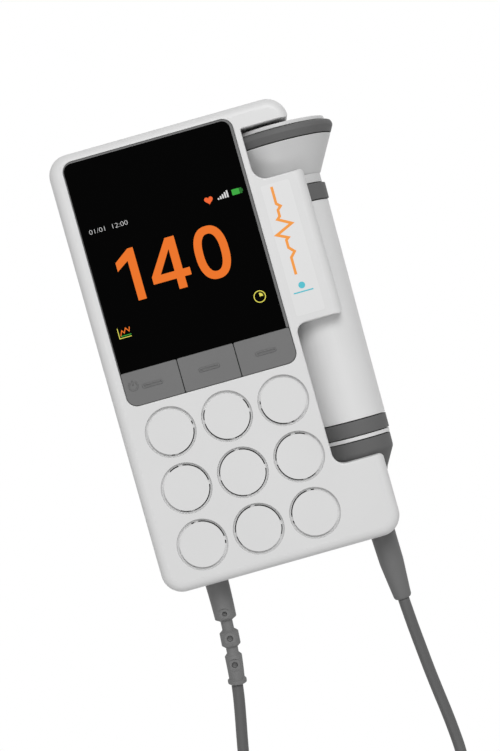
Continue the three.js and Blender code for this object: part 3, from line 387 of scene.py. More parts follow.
finish = {
    "casing": plastic("moulded_white", grey(220), 0.42, vary=0.012, grain=0.2),
    "probe": plastic("probe_white", grey(222), 0.38, vary=0.012, grain=0.12),
    # The probe's head is the handle's white plastic, painted darker: painted shade for its cone, which slopes
    # away from the light.
    "head": plastic("head_white_painted_shade", grey(206), 0.38, vary=0.012, grain=0.12),
    "dark": plastic("dark_band", grey(102), 0.55, specular=0.15),
    "keys": plastic("key_grey", grey(104), 0.55, vary=0.04, grain=0.45, grain_scale=1500),
    "gasket": plastic("gasket_grey", grey(100), 0.6),
    "glass": plastic("screen_glass", grey(1), 0.09, vary=0.1, grain=0.0, specular=0.02),
    "cord": plastic("cord_rubber", grey(89), 0.55, grain=0.4, grain_scale=1300),
    "boot": plastic("boot_rubber", grey(104), 0.6, vary=0.06, grain=0.5, grain_scale=1300),
    "relief": plastic("relief_rubber", grey(115), 0.6, vary=0.06, grain=0.5, grain_scale=1300),
    "acoustic": plastic("acoustic_cap", grey(216), 0.35, vary=0.015, grain=0.1),
    "label": plastic("label_film", grey(226), 0.3, vary=0.008, grain=0.05),
    "orange_print": plastic("orange_print", colour(243, 150, 40), 0.4, vary=0.03, grain=0.05),
    "teal_print": plastic("teal_print", colour(70, 190, 205), 0.4, vary=0.03, grain=0.05),
    "board": plastic("board_green", (0.018, 0.11, 0.04), 0.45, vary=0.25, patch=400),
    "chip": plastic("chip_black", grey(34), 0.5, vary=0.1, grain=0.4),
    "steel": plastic("bright_steel", (0.58, 0.58, 0.6), 0.3, vary=0.04, grain=0.1, metallic=1.0),
    "cloth": plastic("grille_cloth", grey(26), 0.95, vary=0.2, patch=900, grain=1.0, grain_scale=900),
    "cone": plastic("cone_paper", grey(38), 0.8, vary=0.15, patch=300, grain=0.8, grain_scale=900),
    "display": plastic("display_module", grey(24), 0.35, vary=0.1, grain=0.05),
    "cell": plastic("cell_wrap", colour(52, 54, 60), 0.3, grain=0.03),
    "cell_gold": plastic("cell_gold", colour(196, 132, 62), 0.28, grain=0.03, metallic=0.7),
    "ceramic": plastic("ceramic", colour(214, 207, 186), 0.5),
    "foam": plastic("foam", grey(62), 0.95, vary=0.2, patch=800, grain=1.0, grain_scale=700),
}
LIGHTS = {
    "orange": (217, 106, 32), "heart": (222, 92, 42), "white": (200, 200, 200), "green": (50, 152, 54),
    "yellow": (205, 198, 82), "low_green": (28, 96, 34),
}
for name, levels in LIGHTS.items():
    finish[name] = glow("display_" + name, colour(*levels))

# The cord: from the unit's strain relief to the coil, round the coil, and on to the probe's strain relief.
UNIT_ROUTE = [
    (-25.41, -104.46, 14.05), (-25.98, -108.21, 13.26), (-27.29, -114.93, 10.61), (-28.83, -122.27, 7.47),
    (-30.16, -129.41, 4.81), (-30.88, -136.94, 2.88), (-30.39, -144.65, 2.03), (-28.22, -152.55, 1.85),
    (-24.76, -160.32, 1.85), (-21.65, -166.86, 1.85), (-20.94, -170.43, 1.85), (-20.94, -173.7, 1.85),
]
PROBE_ROUTE = [
    (34.94, -173.71, 6.1), (34.97, -169.93, 6.05), (35.74, -162.16, 5), (36.98, -153.99, 3.1),
    (37.66, -146.17, 2.2), (37.25, -138.38, 2.57), (36.53, -131.26, 3.82), (35.71, -124.54, 5.44),
    (34.88, -117.41, 7.68), (34.16, -110.07, 10.3), (33.43, -102.14, 12.92), (32.97, -95.86, 14.48),
    (32.75, -92.37, 14.95),
]
ROUTE_STEPS = 6

# The coil's centre, mean radius, turns in a layer and in the climb to the next, pitch, and points in a turn.
COIL = {"x": 7, "y": -174, "mean": 20.5, "layer": 3.5, "climb": 0.5, "pitch": 4.25, "steps": 40}
SUNK = 1.4  # how far each end of the cord runs into its strain relief
CORD_SIDES = 20
END_SHARE = 0.55  # of the cord's radius at its hidden ends


def spline(points, steps):
    """A centripetal Catmull-Rom curve through the points."""
    points = [Vector(p) for p in points]
    run = [points[0] * 2 - points[1], *points, points[-1] * 2 - points[-2]]
    made = []
    for a, b, c, d in zip(run, run[1:], run[2:], run[3:]):
        ab, bc, cd = (max((q - p).length, 1e-9) ** 0.5 for p, q in ((a, b), (b, c), (c, d)))
        m1 = (b - a) / ab - (c - a) / (ab + bc) + (c - b) / bc
        m2 = (c - b) / bc - (d - b) / (bc + cd) + (d - c) / cd
        m1, m2 = m1 * bc, m2 * bc
        for k in range(steps):
            t = k / steps
            leave, arrive = 2 * t**3 - 3 * t**2 + 1, 3 * t**2 - 2 * t**3
            made.append(b * leave + m1 * (t**3 - 2 * t**2 + t) + c * arrive + m2 * (t**3 - t**2))
    return [*made, points[-1]]


def coil_point(turns):
    """Where the coil is after so many turns: inwards on the table, up a layer, and out again on the first."""
    inner = COIL["mean"] - COIL["pitch"] * COIL["layer"] / 2
    past = turns - COIL["layer"]
    r, rise = inner - COIL["pitch"] * past, 0.0
    if past > COIL["climb"]:
        r, rise = inner + COIL["pitch"] * (past - COIL["climb"]), 1.0
    elif past > 0:
        share = past / COIL["climb"]
        r = inner - COIL["pitch"] * past * (1 - share)
        rise = share * share * (3 - 2 * share)
    angle = math.pi * (1 + 2 * turns)
    x, y = COIL["x"] + r * math.cos(angle), COIL["y"] + r * math.sin(angle)
    return Vector((x, y, CORD_R + rise * COIL["pitch"]))


def cord_path():
    """The whole cord's points, none of them lower than the cord lies."""
    out = spline(UNIT_ROUTE, ROUTE_STEPS)
    back = spline(PROBE_ROUTE, ROUTE_STEPS)
    out.insert(0, out[0] + (out[0] - out[1]).normalized() * SUNK)
    back.append(back[-1] + (back[-1] - back[-2]).normalized() * SUNK)
    turns = 2 * COIL["layer"] + COIL["climb"]
    count = int(turns * COIL["steps"])
    whole = out + [coil_point(i / COIL["steps"]) for i in range(count + 1)] + back
    return [Vector((p.x, p.y, max(p.z, CORD_R))) for p in whole]


def tube(name, path, r, sides):
    """A round tube along a path, with narrowed ends."""
    points, faces = [], []
    across = Vector((1, 0, 0))
    stations = [(path[0], END_SHARE), *((p, 1.0) for p in path[1:-1]), (path[-1], END_SHARE)]
    for i, (p, share) in enumerate(stations):
        along = (path[min(i + 1, len(path) - 1)] - path[max(i - 1, 0)]).normalized()
        across = (across - along * across.dot(along)).normalized()
        above = along.cross(across)
        for k in range(sides):
            a = 2 * math.pi * k / sides
            points.append(p + (across * math.cos(a) + above * math.sin(a)) * (r * share))
    for i in range(len(path) - 1):
        for k in range(sides):
            a, b = i * sides + k, i * sides + (k + 1) % sides
            faces.append((a, b, b + sides, a + sides))
    last = (len(path) - 1) * sides
    faces += [tuple(range(sides))[::-1], tuple(range(last, last + sides))]
    return mesh_object(name, points, faces)


path = cord_path()
cord = tube("probe_cord", path, CORD_R, CORD_SIDES)
cord.data.polygons.foreach_set("use_smooth", [True] * len(cord.data.polygons))
cord.data.materials.append(finish["cord"])
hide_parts("cord_from_unit", "cord_coil", "cord_to_probe")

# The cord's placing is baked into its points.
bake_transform(cord)

# The room inside the casing, which is wider near the front, then (radius, height, rounding) corners of the
# room that the probe needs and of the pocket round its head.
FRONT_RIGHT, DEEP_RIGHT = 20.8, 18.9
FRONT_ROOM = 6.5
CAVITY_R = 2
CHANNEL = [
    (5.2, -90, 0), (5.1, -58, 2), (7.7, -50.4, 4), (11.05, -44.45, 3), (11.3, -33.15, 2), (11.15, -10, 20),
    (11.5, 35.85, 2), (11.5, 44.45, 1), (17.15, 55.45, 2), (18.5, 57.9, 1), (18.5, 62.5, 0),
]
CHANNEL_REACH = 80
POCKET = [(12.5, 34.85, 0), (12.5, 44.45, 0), (18.15, 54.45, 0), (19.5, 56.9, 0), (19.5, 63.5, 0)]
POCKET_INSET = 1.2  # from the casing's outer faces
RELIEF_HOLE_R = 3.5
RELIEF_HOLE_TOP = WELL_LOW - 1.5


def casing_form(name, levels):
    return prism(name, rectangle(LEFT, BOTTOM, RIGHT, TOP, CORNER_R), levels)


def cavity(name, z0, z1, x1=DEEP_RIGHT):
    left_r = CORNER_R - WALL
    shape = rectangle(LEFT + WALL, BOTTOM + WALL, x1, TOP - WALL, [left_r, CAVITY_R, CAVITY_R, left_r])
    return prism(name, shape, [(z0, 0), (z1, 0)])


def channel():
    """The way that the probe takes out of its holder, to the right."""
    outline = fillet([*CHANNEL, *((-r, s, e) for r, s, e in CHANNEL[::-1])])
    across = PROBE @ Matrix.Rotation(math.pi / 2, 4, "Y")
    return [
        turned("tool_round", to_axis(CHANNEL), FINE, PROBE),
        prism("tool_sweep", outline, [(0, 0), (CHANNEL_REACH, 0)], across),
    ]


def pocket_wall(z0, z1):
    """The wall of the pocket that the probe's head reaches into."""
    made = turned("pocket", to_axis(POCKET), FINE, PROBE)
    away = POCKET_INSET
    shape = rectangle(LEFT + away, BOTTOM + away, RIGHT - away, TOP - away, CORNER_R - away)
    kept = prism("pocket_form", shape, [(max(z0, away), 0), (min(z1, DEPTH - away), 0)])
    return carve(made, [kept], "INTERSECT")


def side_cut(low, high, radii, below, above):
    """The outline of a cut that is open to the right. Outside the casing it goes on below and above, so that
    what is left has rounded corners there. The radii start at the low left and go round counterclockwise."""
    out = RIGHT + OVERRUN
    return fillet([
        (HOLDER_X, low, radii[0]), (RIGHT, low, radii[1]), (RIGHT, low - below, 0), (out, low - below, 0),
        (out, high + above, 0), (RIGHT, high + above, 0), (RIGHT, high, radii[2]), (HOLDER_X, high, radii[3]),
    ])


def notch():
    """The notch for the probe's head, through front and back."""
    shape = side_cut(NOTCH_LOW, NOTCH_HIGH, (4.4, 1.2, 0.8, 0.5), 3, 2)
    back_r, front_r = 0.35, 0.45
    back = rounding(0, back_r, 3, up=False, flare=True)
    return prism("tool_notch", shape, [(-OVERRUN, -back_r), *back, *through_front(front_r, 4)])


def window():
    """The window onto the probe's handle, through the front only."""
    shape = side_cut(WINDOW_LOW, WINDOW_HIGH, (3.9, 1.4, 1.4, 3), 3, 3)
    return prism("tool_window", shape, [(PROBE_Z, 0), *through_front(0.5, 4)])


def undercut(low, high):
    """A tool that makes the holder a little wider behind the front's wall, apart from its ends."""
    wider, kept_end, reach, front = 1.2, 0.5, 3, DEPTH - WALL - 0.5
    x0, x1 = HOLDER_X - wider, HOLDER_X + reach
    return box("tool_undercut", x0, low + kept_end, PROBE_Z, x1, high - kept_end, front)


def opening():
    """The opening for screen and keys."""
    shape = rectangle(OPEN_LEFT, OPEN_LOW, OPEN_RIGHT, OPEN_HIGH, OPEN_R)
    return prism("tool_opening", shape, [(DEPTH - WALL - OVERRUN, 0), *through_front(0.3, 3)])


# The grille: nine discs, each in a bevelled groove. Where the loudspeaker is behind a groove, a slot goes
# through it, apart from four bridges that hold the disc.
RING_PITCH = 18.0
DISC_R, SLOT_R, BEVEL_R = 7.0, 7.32, 7.97
GROOVE_DEEP = 1.3
GRILLE_R = 22.5
BRIDGE = 1.3


def grille_tools():
    floor, out = DEPTH - GROOVE_DEEP, DEPTH + OVERRUN
    foot, lean, outer_flare, inner_flare = 0.5, 0.12, 0.5, 0.9
    groove = [
        (DISC_R, floor, 0), (SLOT_R, floor, 0), (BEVEL_R - lean, floor + foot, 0.6), (BEVEL_R, DEPTH, lean),
        (BEVEL_R + outer_flare, out, 0), (DISC_R - inner_flare, out, 0), (DISC_R, DEPTH, 0.25),
    ]
    inside, into_groove = DEPTH - WALL - OVERRUN, floor + 0.1
    slot = [(DISC_R, inside, 0), (SLOT_R, inside, 0), (SLOT_R, into_groove, 0), (DISC_R, into_groove, 0)]
    steps = (-1, 0, 1)
    places = [(SPEAKER_X + i * RING_PITCH, SPEAKER_Y + j * RING_PITCH) for j in steps for i in steps]
    grooves = joined("tool_grooves", [pillar("groove", x, y, groove, FINE) for x, y in places])
    slots = joined("tool_slots", [pillar("slot", x, y, slot, FINE) for x, y in places])
    low, half, reach = DEPTH - 5, BRIDGE / 2, SLOT_R + GAP
    behind = to_axis([(GRILLE_R, low, 0), (GRILLE_R, out, 0)])
    carve(slots, [pillar("tool_behind", SPEAKER_X, SPEAKER_Y, behind, FINE)], "INTERSECT")
    for x, y in places:
        for across, up in ((half, reach), (reach, half)):
            carve(slots, [box("bridge", x - across, y - up, low, x + across, y + up, out)])
    return [grooves, slots]


def relief_hole():
    ends = [(RELIEF_HOLE_R, BOTTOM - OVERRUN, 0), (RELIEF_HOLE_R, RELIEF_HOLE_TOP, 0)]
    return turned("tool_relief", to_axis(ends), COARSE, Matrix.Translation((RELIEF_X, 0, RELIEF_Z)))


def front_cover():
    seam, front = PARTING + GAP / 2, DEPTH - WALL
    levels = [(seam, SEAM_CHAMFER), (seam + SEAM_CHAMFER, 0), *rounding(DEPTH, EDGE_R, EDGE_STEPS)]
    made = casing_form("front_cover_skin", levels)
    room = cavity("tool_room", front - FRONT_ROOM, front, FRONT_RIGHT)
    carve(made, [cavity("tool_cavity", seam - OVERRUN, front), room])
    carve(made, [pocket_wall(seam, DEPTH)], "UNION")
    carve(made, [*channel(), notch(), window(), opening(), relief_hole()])
    carve(made, [undercut(WINDOW_LOW, WINDOW_HIGH), undercut(NOTCH_LOW, NOTCH_HIGH)])
    carve(made, grille_tools())
    return made


# The battery's well, the rails beside its door, and the holes for the screws.
WELL_WALL = 1.2
WELL_TOP, WELL_ROOF = 17.1, 17.9
RAIL_TOP = 3.6
SINK = [(3.6, -1, 0), (2.7, 0.25, 0.3), (2.7, 6, 0), (1.55, 6, 0), (1.55, 19, 0)]


def over_well(name, half, low, z0, high, z1):
    """A box that reaches half to either side of the well's middle."""
    return box(name, SPEAKER_X - half, low, z0, SPEAKER_X + half, high, z1)


def rear_cover():
    seam = PARTING - GAP / 2
    levels = [*rounding(0, EDGE_R, EDGE_STEPS, up=False), (seam - SEAM_CHAMFER, 0), (seam, SEAM_CHAMFER)]
    made = casing_form("rear_cover_skin", levels)
    carve(made, [cavity("tool_cavity", WALL, seam + OVERRUN)])
    in_wall, low, high = WALL / 2, WELL_LOW - WELL_WALL, WELL_HIGH + WELL_WALL
    carve(made, [over_well("well", WELL_HALF + WELL_WALL, low, in_wall, high, WELL_ROOF)], "UNION")
    door = WELL_HALF + DOOR_LAP + GAP
    rail = door + TONGUE + WELL_WALL
    carve(made, [over_well("rails", rail, BOTTOM + in_wall, in_wall, high + WELL_WALL, RAIL_TOP)], "UNION")
    end, roof = WELL_HIGH + DOOR_LAP + GAP, DOOR_TOP + GAP
    carve(made, [
        over_well("tool_well", WELL_HALF, WELL_LOW, -OVERRUN, WELL_HIGH, WELL_TOP),
        over_well("tool_door", door, BOTTOM - OVERRUN, -OVERRUN, end, roof),
        over_well("tool_tongue", door + TONGUE, BOTTOM - OVERRUN, TONGUE_BACK - GAP, end, roof),
    ])
    carve(made, [pocket_wall(0, seam)], "UNION")
    carve(made, [joined("tool_screws", [pillar("sink", x, y, to_axis(SINK)) for x, y in SCREW_PLACES])])
    carve(made, [*channel(), notch(), relief_hole()])
    return made


# The grip on the battery's door: grooves across it.
GRIP = {"count": 4, "half": 7.5, "high": 1.1, "pitch": 2.6, "from_end": 8, "corner": 0.5}


def battery_door():
    half, high, low = WELL_HALF + DOOR_LAP, WELL_HIGH + DOOR_LAP, BOTTOM - OVERRUN
    shape = rectangle(SPEAKER_X - half, low, SPEAKER_X + half, high, [0, 0, 0.6, 0.6])
    made = prism("battery_door_skin", shape, [*rounding(DOOR_BACK, 0.3, 3, up=False), (DOOR_TOP, 0)])
    carve(made, [over_well("tongue", half + TONGUE, low, TONGUE_BACK, high, DOOR_TOP)], "UNION")
    outside = casing_form("form", [*rounding(0, EDGE_R, EDGE_STEPS, up=False), (DEPTH, 0)])
    carve(made, [outside], "INTERSECT")
    levels = [(-OVERRUN, -0.15), (DOOR_BACK + 0.1, -0.1), (DOOR_BACK + 0.4, 0.15)]
    grooves = []
    for i in range(GRIP["count"]):
        y = high - GRIP["from_end"] - i * GRIP["pitch"]
        x0, x1 = SPEAKER_X - GRIP["half"], SPEAKER_X + GRIP["half"]
        grooves.append(prism("groove", rectangle(x0, y - GRIP["high"], x1, y, GRIP["corner"]), levels))
    carve(made, [joined("tool_grip", grooves)])
    return made


settle(front_cover(), "main_unit", "casing", ["front_cover"])
settle(rear_cover(), "main_unit", "casing", ["rear_cover"])
settle(battery_door(), "battery_cover", "casing", ["battery_door"])

# The screws, with a cross in each head.
SCREW = [(2.4, 3.7, 0.6), (2.4, 5.7, 0.15), (1.25, 5.7, 0), (1.25, 26.4, 0), (0.6, 27, 0)]
CROSS_LONG, CROSS_WIDE = 1.4, 0.35
CROSS_LEVELS = [(2.7, -0.1), (3.7, -0.05), (4.6, 0.12)]


def screw(name, x, y):
    made = pillar(name, x, y, to_axis(SCREW), 40)
    for across, up in ((CROSS_LONG, CROSS_WIDE), (CROSS_WIDE, CROSS_LONG)):
        shape = rectangle(x - across, y - up, x + across, y + up, 0)
        carve(made, [prism("tool_cross", shape, CROSS_LEVELS)])
    return made


for i, (x, y) in enumerate(SCREW_PLACES, 1):
    settle(screw(f"screw_{i}", x, y), "main_unit", "steel", [f"case_screw_{i}"])

# The screen: a black glass in a thin gasket, with lit shapes on it. The gasket's rim lies on the glass.
GLASS_BACK, GLASS_TOP = 33.6, 34.8
GLASS_R = 3.1
GASKET_GAP, GASKET_R = 0.12, 3.28
RIM_BACK = GLASS_TOP + 0.015
FIT = 0.01  # between the glass and the gasket
LIT_BACK, LIT_TOP = GLASS_TOP + 0.005, GLASS_TOP + 0.025


def in_opening(left, right, top, radii, low=GLASS_LOW):
    """A rectangle above the keys, at these distances from the opening's left, right and top."""
    return rectangle(OPEN_LEFT + left, low, OPEN_RIGHT - right, OPEN_HIGH - top, [0, 0, *radii])


def gasket():
    low, rim_top = GLASS_LOW - OVERRUN, GLASS_TOP + 0.06
    outline = in_opening(GASKET_GAP, GASKET_GAP, GASKET_GAP, (GASKET_R, GASKET_R))
    made = prism("screen_gasket", outline, [(GLASS_BACK + 0.1, 0), *rounding(rim_top, 0.12, 2)])
    pane = in_opening(0.2, 0.9, 0.6, (2.6, 2.8), low)
    carve(made, [prism("tool_pane", pane, [(RIM_BACK, 0), (GLASS_TOP + OVERRUN, -0.15)])])
    away = GAP - FIT
    inner = in_opening(away, away, away, (GLASS_R, GLASS_R), low)
    carve(made, [prism("tool_inner", inner, [(GLASS_BACK, 0), (RIM_BACK, 0)])])
    return made


glass_outline = in_opening(GAP, GAP, GAP, (GLASS_R, GLASS_R))
glass = prism("screen_pane", glass_outline, [(GLASS_BACK, 0), *rounding(GLASS_TOP, 0.15, 2)])
settle(glass, "main_unit", "glass", ["display_window"])
settle(gasket(), "main_unit", "gasket")


def lit(name, outline, material, hole=None):
    """A lit shape on the screen, with a hole where it has one."""
    made = prism(name, outline, [(LIT_BACK, 0), (LIT_TOP, 0)])
    if hole:
        carve(made, [prism("tool_hole", hole, [(LIT_BACK - OVERRUN, 0), (LIT_TOP + OVERRUN, 0)])])
    settle(made, "main_unit", material)


def lettering(name, text, x0, x1, y0, y1, bold, material):
    """Plain figures that fill the box from (x0, y0) to (x1, y1)."""
    curve = bpy.data.curves.new(name, "FONT")
    curve.body, curve.offset, curve.resolution_u, curve.extrude = text, bold, 8, LIT_TOP - LIT_BACK
    maker = bpy.data.objects.new(name, curve)
    scene.collection.objects.link(maker)
    bpy.context.view_layer.update()
    data = bpy.data.meshes.new_from_object(maker.evaluated_get(bpy.context.evaluated_depsgraph_get()))
    bpy.data.objects.remove(maker)
    points = np.array([v.co for v in data.vertices])
    low, high = points.min(0), points.max(0)
    goal_low, goal_high = np.array((x0, y0, LIT_BACK)), np.array((x1, y1, LIT_TOP))
    points = goal_low + (points - low) / (high - low) * (goal_high - goal_low)
    made = mesh_object(name, points.tolist(), [tuple(p.vertices) for p in data.polygons], merge=1e-6)
    settle(made, "main_unit", material)


def arc(x, y, r, start, sweep, count):
    """Points on a circle about (x, y), from start on through the sweep, both in degrees."""
    angles = [math.radians(start + sweep * k / count) for k in range(count + 1)]
    return [Vector((x + r * math.cos(a), y + r * math.sin(a))) for a in angles]


def stroke(points, width):
    """A line of even width through the points, with its ends cut square."""
    points = [Vector(p) for p in points]
    sides = ([], [])
    for i, p in enumerate(points):
        a = (p - points[i - 1] if i else points[1] - p).normalized()
        b = (points[i + 1] - p).normalized() if i + 1 < len(points) else a
        na, nb = Vector((-a.y, a.x)), Vector((-b.y, b.x))
        step = (na + nb) * (width / 2 / max(0.35, 1 + na.dot(nb)))
        sides[0].append(p + step)
        sides[1].append(p - step)
    return sides[1] + sides[0][::-1]


def heart(x, y, size, count=60):
    """The usual heart curve, which is 32 units wide."""
    made = []
    for k in range(count):
        t = 2 * math.pi * k / count
        up = 13 * math.cos(t) - 5 * math.cos(2 * t) - 2 * math.cos(3 * t) - math.cos(4 * t)
        made.append(Vector((x - size * 16 * math.sin(t) ** 3 / 32, y + size * up / 32)))
    return made


def oval(x, y, half_width, half_height, count=72, power=2.35):
    """A squarish oval about (x, y)."""
    made = []
    for k in range(count):
        c, d = math.cos(2 * math.pi * k / count), math.sin(2 * math.pi * k / count)
        across, up = math.copysign(abs(c) ** (2 / power), c), math.copysign(abs(d) ** (2 / power), d)
        made.append((x + half_width * across, y + half_height * up))
    return made


# The large reading: where each figure starts, its outline from there, and its hole.
READING_Y = 20.4
READING = {
    "reading_one": (-25.4, [
        (3.8, 0), (6.4, 0), (6.4, 16.4), (4.7, 16.4), (0, 13.0), (0, 10.2), (3.8, 12.7),
    ], []),
    "reading_four": (-15.8, [
        (0, 3.4), (7.3, 3.4), (7.3, 0), (9.9, 0), (9.9, 3.4), (12.1, 3.4), (12.1, 5.8), (9.9, 5.8),
        (9.9, 16.4), (7, 16.4), (0, 5.7),
    ], [(2.9, 5.8), (7.3, 5.8), (7.3, 12.8)]),
    "reading_nought": (-1.2, oval(5.4, 8.2, 5.3, 8.35), oval(5.4, 8.2, 2.75, 5.9)),
}
for name, (x, outline, hole) in READING.items():
    corner = Vector((x, READING_Y))
    lit(name, [corner + Vector(p) for p in outline], "orange", [corner + Vector(p) for p in hole])

# The line of small signs above the reading.
SIGNAL = {"bars": 5, "x": 10.3, "y": 43.6, "pitch": 0.75, "width": 0.5, "least": 0.5, "rise": 0.42}
lettering("clock", "01/01  12:00", -30.6, -18.4, 43.9, 45.3, -0.02, "white")
lit("heart", heart(7.5, 44.3, 2.7), "heart")
for i in range(SIGNAL["bars"]):
    x, top = SIGNAL["x"] + i * SIGNAL["pitch"], SIGNAL["y"] + SIGNAL["least"] + i * SIGNAL["rise"]
    lit(f"signal_{i + 1}", rectangle(x, SIGNAL["y"], x + SIGNAL["width"], top, 0), "white")
lit("charge", rectangle(15.0, 43.7, 17.4, 45.5, 0.15), "green")
lit("charge_case", rectangle(17.5, 43.7, 18.2, 45.5, 0.15), "low_green")
lit("charge_tip", rectangle(18.25, 44.2, 18.5, 45.0, 0), "low_green")

# The timer and the graph below the reading.
TIMER_X, TIMER_Y = 14.6, 11.5
TIMER_OUTER, TIMER_INNER, TIMER_HAND = 1.9, 1.62, 1.15
timer = pillar("timer", TIMER_X, TIMER_Y, [
    (TIMER_INNER, LIT_BACK, 0), (TIMER_OUTER, LIT_BACK, 0), (TIMER_OUTER, LIT_TOP, 0),
    (TIMER_INNER, LIT_TOP, 0),
])
settle(timer, "main_unit", "yellow")
timer_hand = [Vector((TIMER_X, TIMER_Y)), *arc(TIMER_X, TIMER_Y, TIMER_HAND, 0, 90, 10)]
lit("timer_hand", timer_hand, "yellow")
GRAPH = [(-29.9, 11.3), (-29.2, 12.9), (-28.6, 12.0), (-27.9, 13.4), (-27.0, 12.2), (-26.6, 13.5)]
lit("graph_axis", stroke([(-30.4, 13.8), (-30.4, 10.6), (-26.6, 10.6)], 0.24), "yellow")
lit("graph_line", stroke(GRAPH, 0.28), "orange")
lit("graph_base", stroke([(-29.9, 11.2), (-26.6, 11.2)], 0.24), "green")

# The three keys, each with a flange behind the front and a raised bar; the left one has a power sign.
KEY_BACK, KEY_TOP = 30.4, 34.7
KEY_SPLIT = 0.18  # between two keys
KEY_GAP = 0.12  # round the three
KEY_R = 0.5
FLANGE = 0.8
FLANGE_RIGHT = 0.3  # where the casing's wall is near
BAR = {"x": 3.25, "y": 0.62, "r": 0.6, "rise": 0.3}
BAR_GROOVE = {"x": 2.8, "y": 0.24, "r": 0.22}
SIGN = {"x": -5.9, "y": 0.9, "r": 1.35, "start": 130, "sweep": 280, "low": 1.1, "high": 2.6, "rise": 0.25}
SIGN_WIDTH = 0.36


def raised(name, outline, rise):
    """A form that stands on a key by so much, and starts inside it."""
    levels = [(KEY_TOP - 0.5, -0.12), (KEY_TOP, -0.12), *rounding(KEY_TOP + rise, 0.15, 3)]
    return prism(name, outline, levels)


def bar_outline(x, y, bar):
    return rectangle(x - bar["x"], y - bar["y"], x + bar["x"], y + bar["y"], bar["r"])


def key(i):
    first, last = i == 0, i == 2
    width = (OPEN_RIGHT - OPEN_LEFT) / 3
    x0 = OPEN_LEFT + i * width + (KEY_GAP if first else KEY_SPLIT / 2)
    x1 = OPEN_LEFT + (i + 1) * width - (KEY_GAP if last else KEY_SPLIT / 2)
    y0, y1 = OPEN_LOW + KEY_GAP, GLASS_LOW - KEY_GAP
    outer_r = OPEN_R - KEY_GAP
    radii = [outer_r if first else KEY_R, outer_r if last else KEY_R, KEY_R, KEY_R]
    outline = rectangle(x0, y0, x1, y1, radii)
    made = prism("key_cap_" + "abc"[i], outline, [(KEY_BACK, 0), *rounding(KEY_TOP, 0.22, 4)])
    flange_x0, flange_x1 = x0 - (FLANGE if first else 0), x1 + (FLANGE_RIGHT if last else 0)
    flange = box("flange", flange_x0, y0 - FLANGE, KEY_BACK, flange_x1, y1 + FLANGE, KEY_BACK + FLANGE)
    carve(made, [flange], "UNION")
    x, y = OPEN_LEFT + (i + 0.5) * width, (y0 + y1) / 2
    bar = raised("bar", bar_outline(x, y, BAR), BAR["rise"])
    groove = bar_outline(x, y, BAR_GROOVE)
    carve(bar, [prism("tool_bar", groove, [(KEY_TOP - 0.05, 0), (KEY_TOP + 0.5, -0.1)])])
    carve(made, [bar], "UNION")
    if first:
        middle = x + SIGN["x"]
        bow = arc(middle, y + SIGN["y"], SIGN["r"], SIGN["start"], SIGN["sweep"], 28)
        for line in (bow, [(middle, y + SIGN["low"]), (middle, y + SIGN["high"])]):
            carve(made, [raised("sign", stroke(line, SIGN_WIDTH), SIGN["rise"])], "UNION")
    return made


for i, name in enumerate(("left", "centre", "right")):
    settle(key(i), f"{name}_key", "keys", [f"key_{name}"])

# The label on the holder's tab: a plain film with a pulse line, a dot and a rule.
FILM_TOP, PRINT_TOP = DEPTH + 0.02, DEPTH + 0.02 + 0.015
PULSE_X, PULSE_WIDTH = 27.2, 0.85
PULSE = [
    (0, 43), (0, 37.6), (1.1, 36.6), (0, 35.6), (0, 33.6), (-0.9, 32.8), (3.0, 30.6), (-2.4, 28.2),
    (0.8, 26.6), (0, 26), (0, 23.6), (1.5, 22), (0, 20.4), (0, 15),
]


def film(name, outline, material, z0=FILM_TOP, z1=PRINT_TOP):
    settle(prism(name, outline, [(z0, 0), (z1, 0)]), "main_unit", material)


film("label", rectangle(23.9, 2.4, 33.0, 44.0, 0.7), "label", DEPTH + 0.004, FILM_TOP)
pulse_line = stroke([(PULSE_X + x, y) for x, y in PULSE], PULSE_WIDTH)
film("pulse_line", pulse_line, "orange_print")
film("label_dot", arc(28.0, 11.4, 1.05, 0, 360, COARSE)[:-1], "teal_print")
film("label_rule", rectangle(24.9, 9.2, 31.2, 9.6, 0.2), "teal_print")

# The strain reliefs. Both are made straight, down from height 0, and then bent.
RELIEF_LENGTH = 33.8
UNIT_RELIEF = [
    (5, 3.6, 0.2), (5, 2.3, 0.2), (3.2, 2.3, 0), (3.2, -0.3, 0), (4.3, -0.3, 0.15), (4.3, -1.1, 0.35),
    (3.75, -1.1, 0.1), (3.45, -12.6, 0.4), (1.9, -13.5, 0.3), (1.9, -16.3, 0.3), (3.02, -17.2, 0.4),
    (3.02, -21.2, 0.4), (1.9, -22.1, 0.3), (1.9, -23.9, 0.3), (2.75, -24.8, 0.4), (2.5, -32.2, 0.15),
    (3.0, -32.5, 0.12), (3.0, -33.5, 0.2), (2.5, -RELIEF_LENGTH, 0.1),
]
PROBE_RELIEF = [(4.2, 0, 0.2), (3.85, -21.9, 6), (2.85, -33.2, 0.3), (2.55, -RELIEF_LENGTH, 0.2)]
PROBE_RELIEF_Y = -58

# The dimples in the unit's strain relief: height, radius, and the relief's own radius there.
DIMPLES = [(-10.9, 0.85, 3.5), (-18.9, 1.1, 3.02), (-27.4, 1.1, 2.65)]


def bend(made, drift_x, drift_z, power):
    """Bends a strain relief, so that its axis drifts sideways ever more, by these millimetres at its end."""
    drift = math.hypot(drift_x, drift_z)
    bx, bz = drift_x / drift, drift_z / drift
    for v in made.data.vertices:
        x, y, z = v.co / MM
        share = max(-y, 0) / RELIEF_LENGTH
        turn = math.atan(power * drift * share ** (power - 1) / RELIEF_LENGTH)
        along = x * bx + z * bz
        moved = drift * share**power + along * math.cos(turn)
        v.co = Vector((x + (moved - along) * bx, y + along * math.sin(turn), z + (moved - along) * bz)) * MM


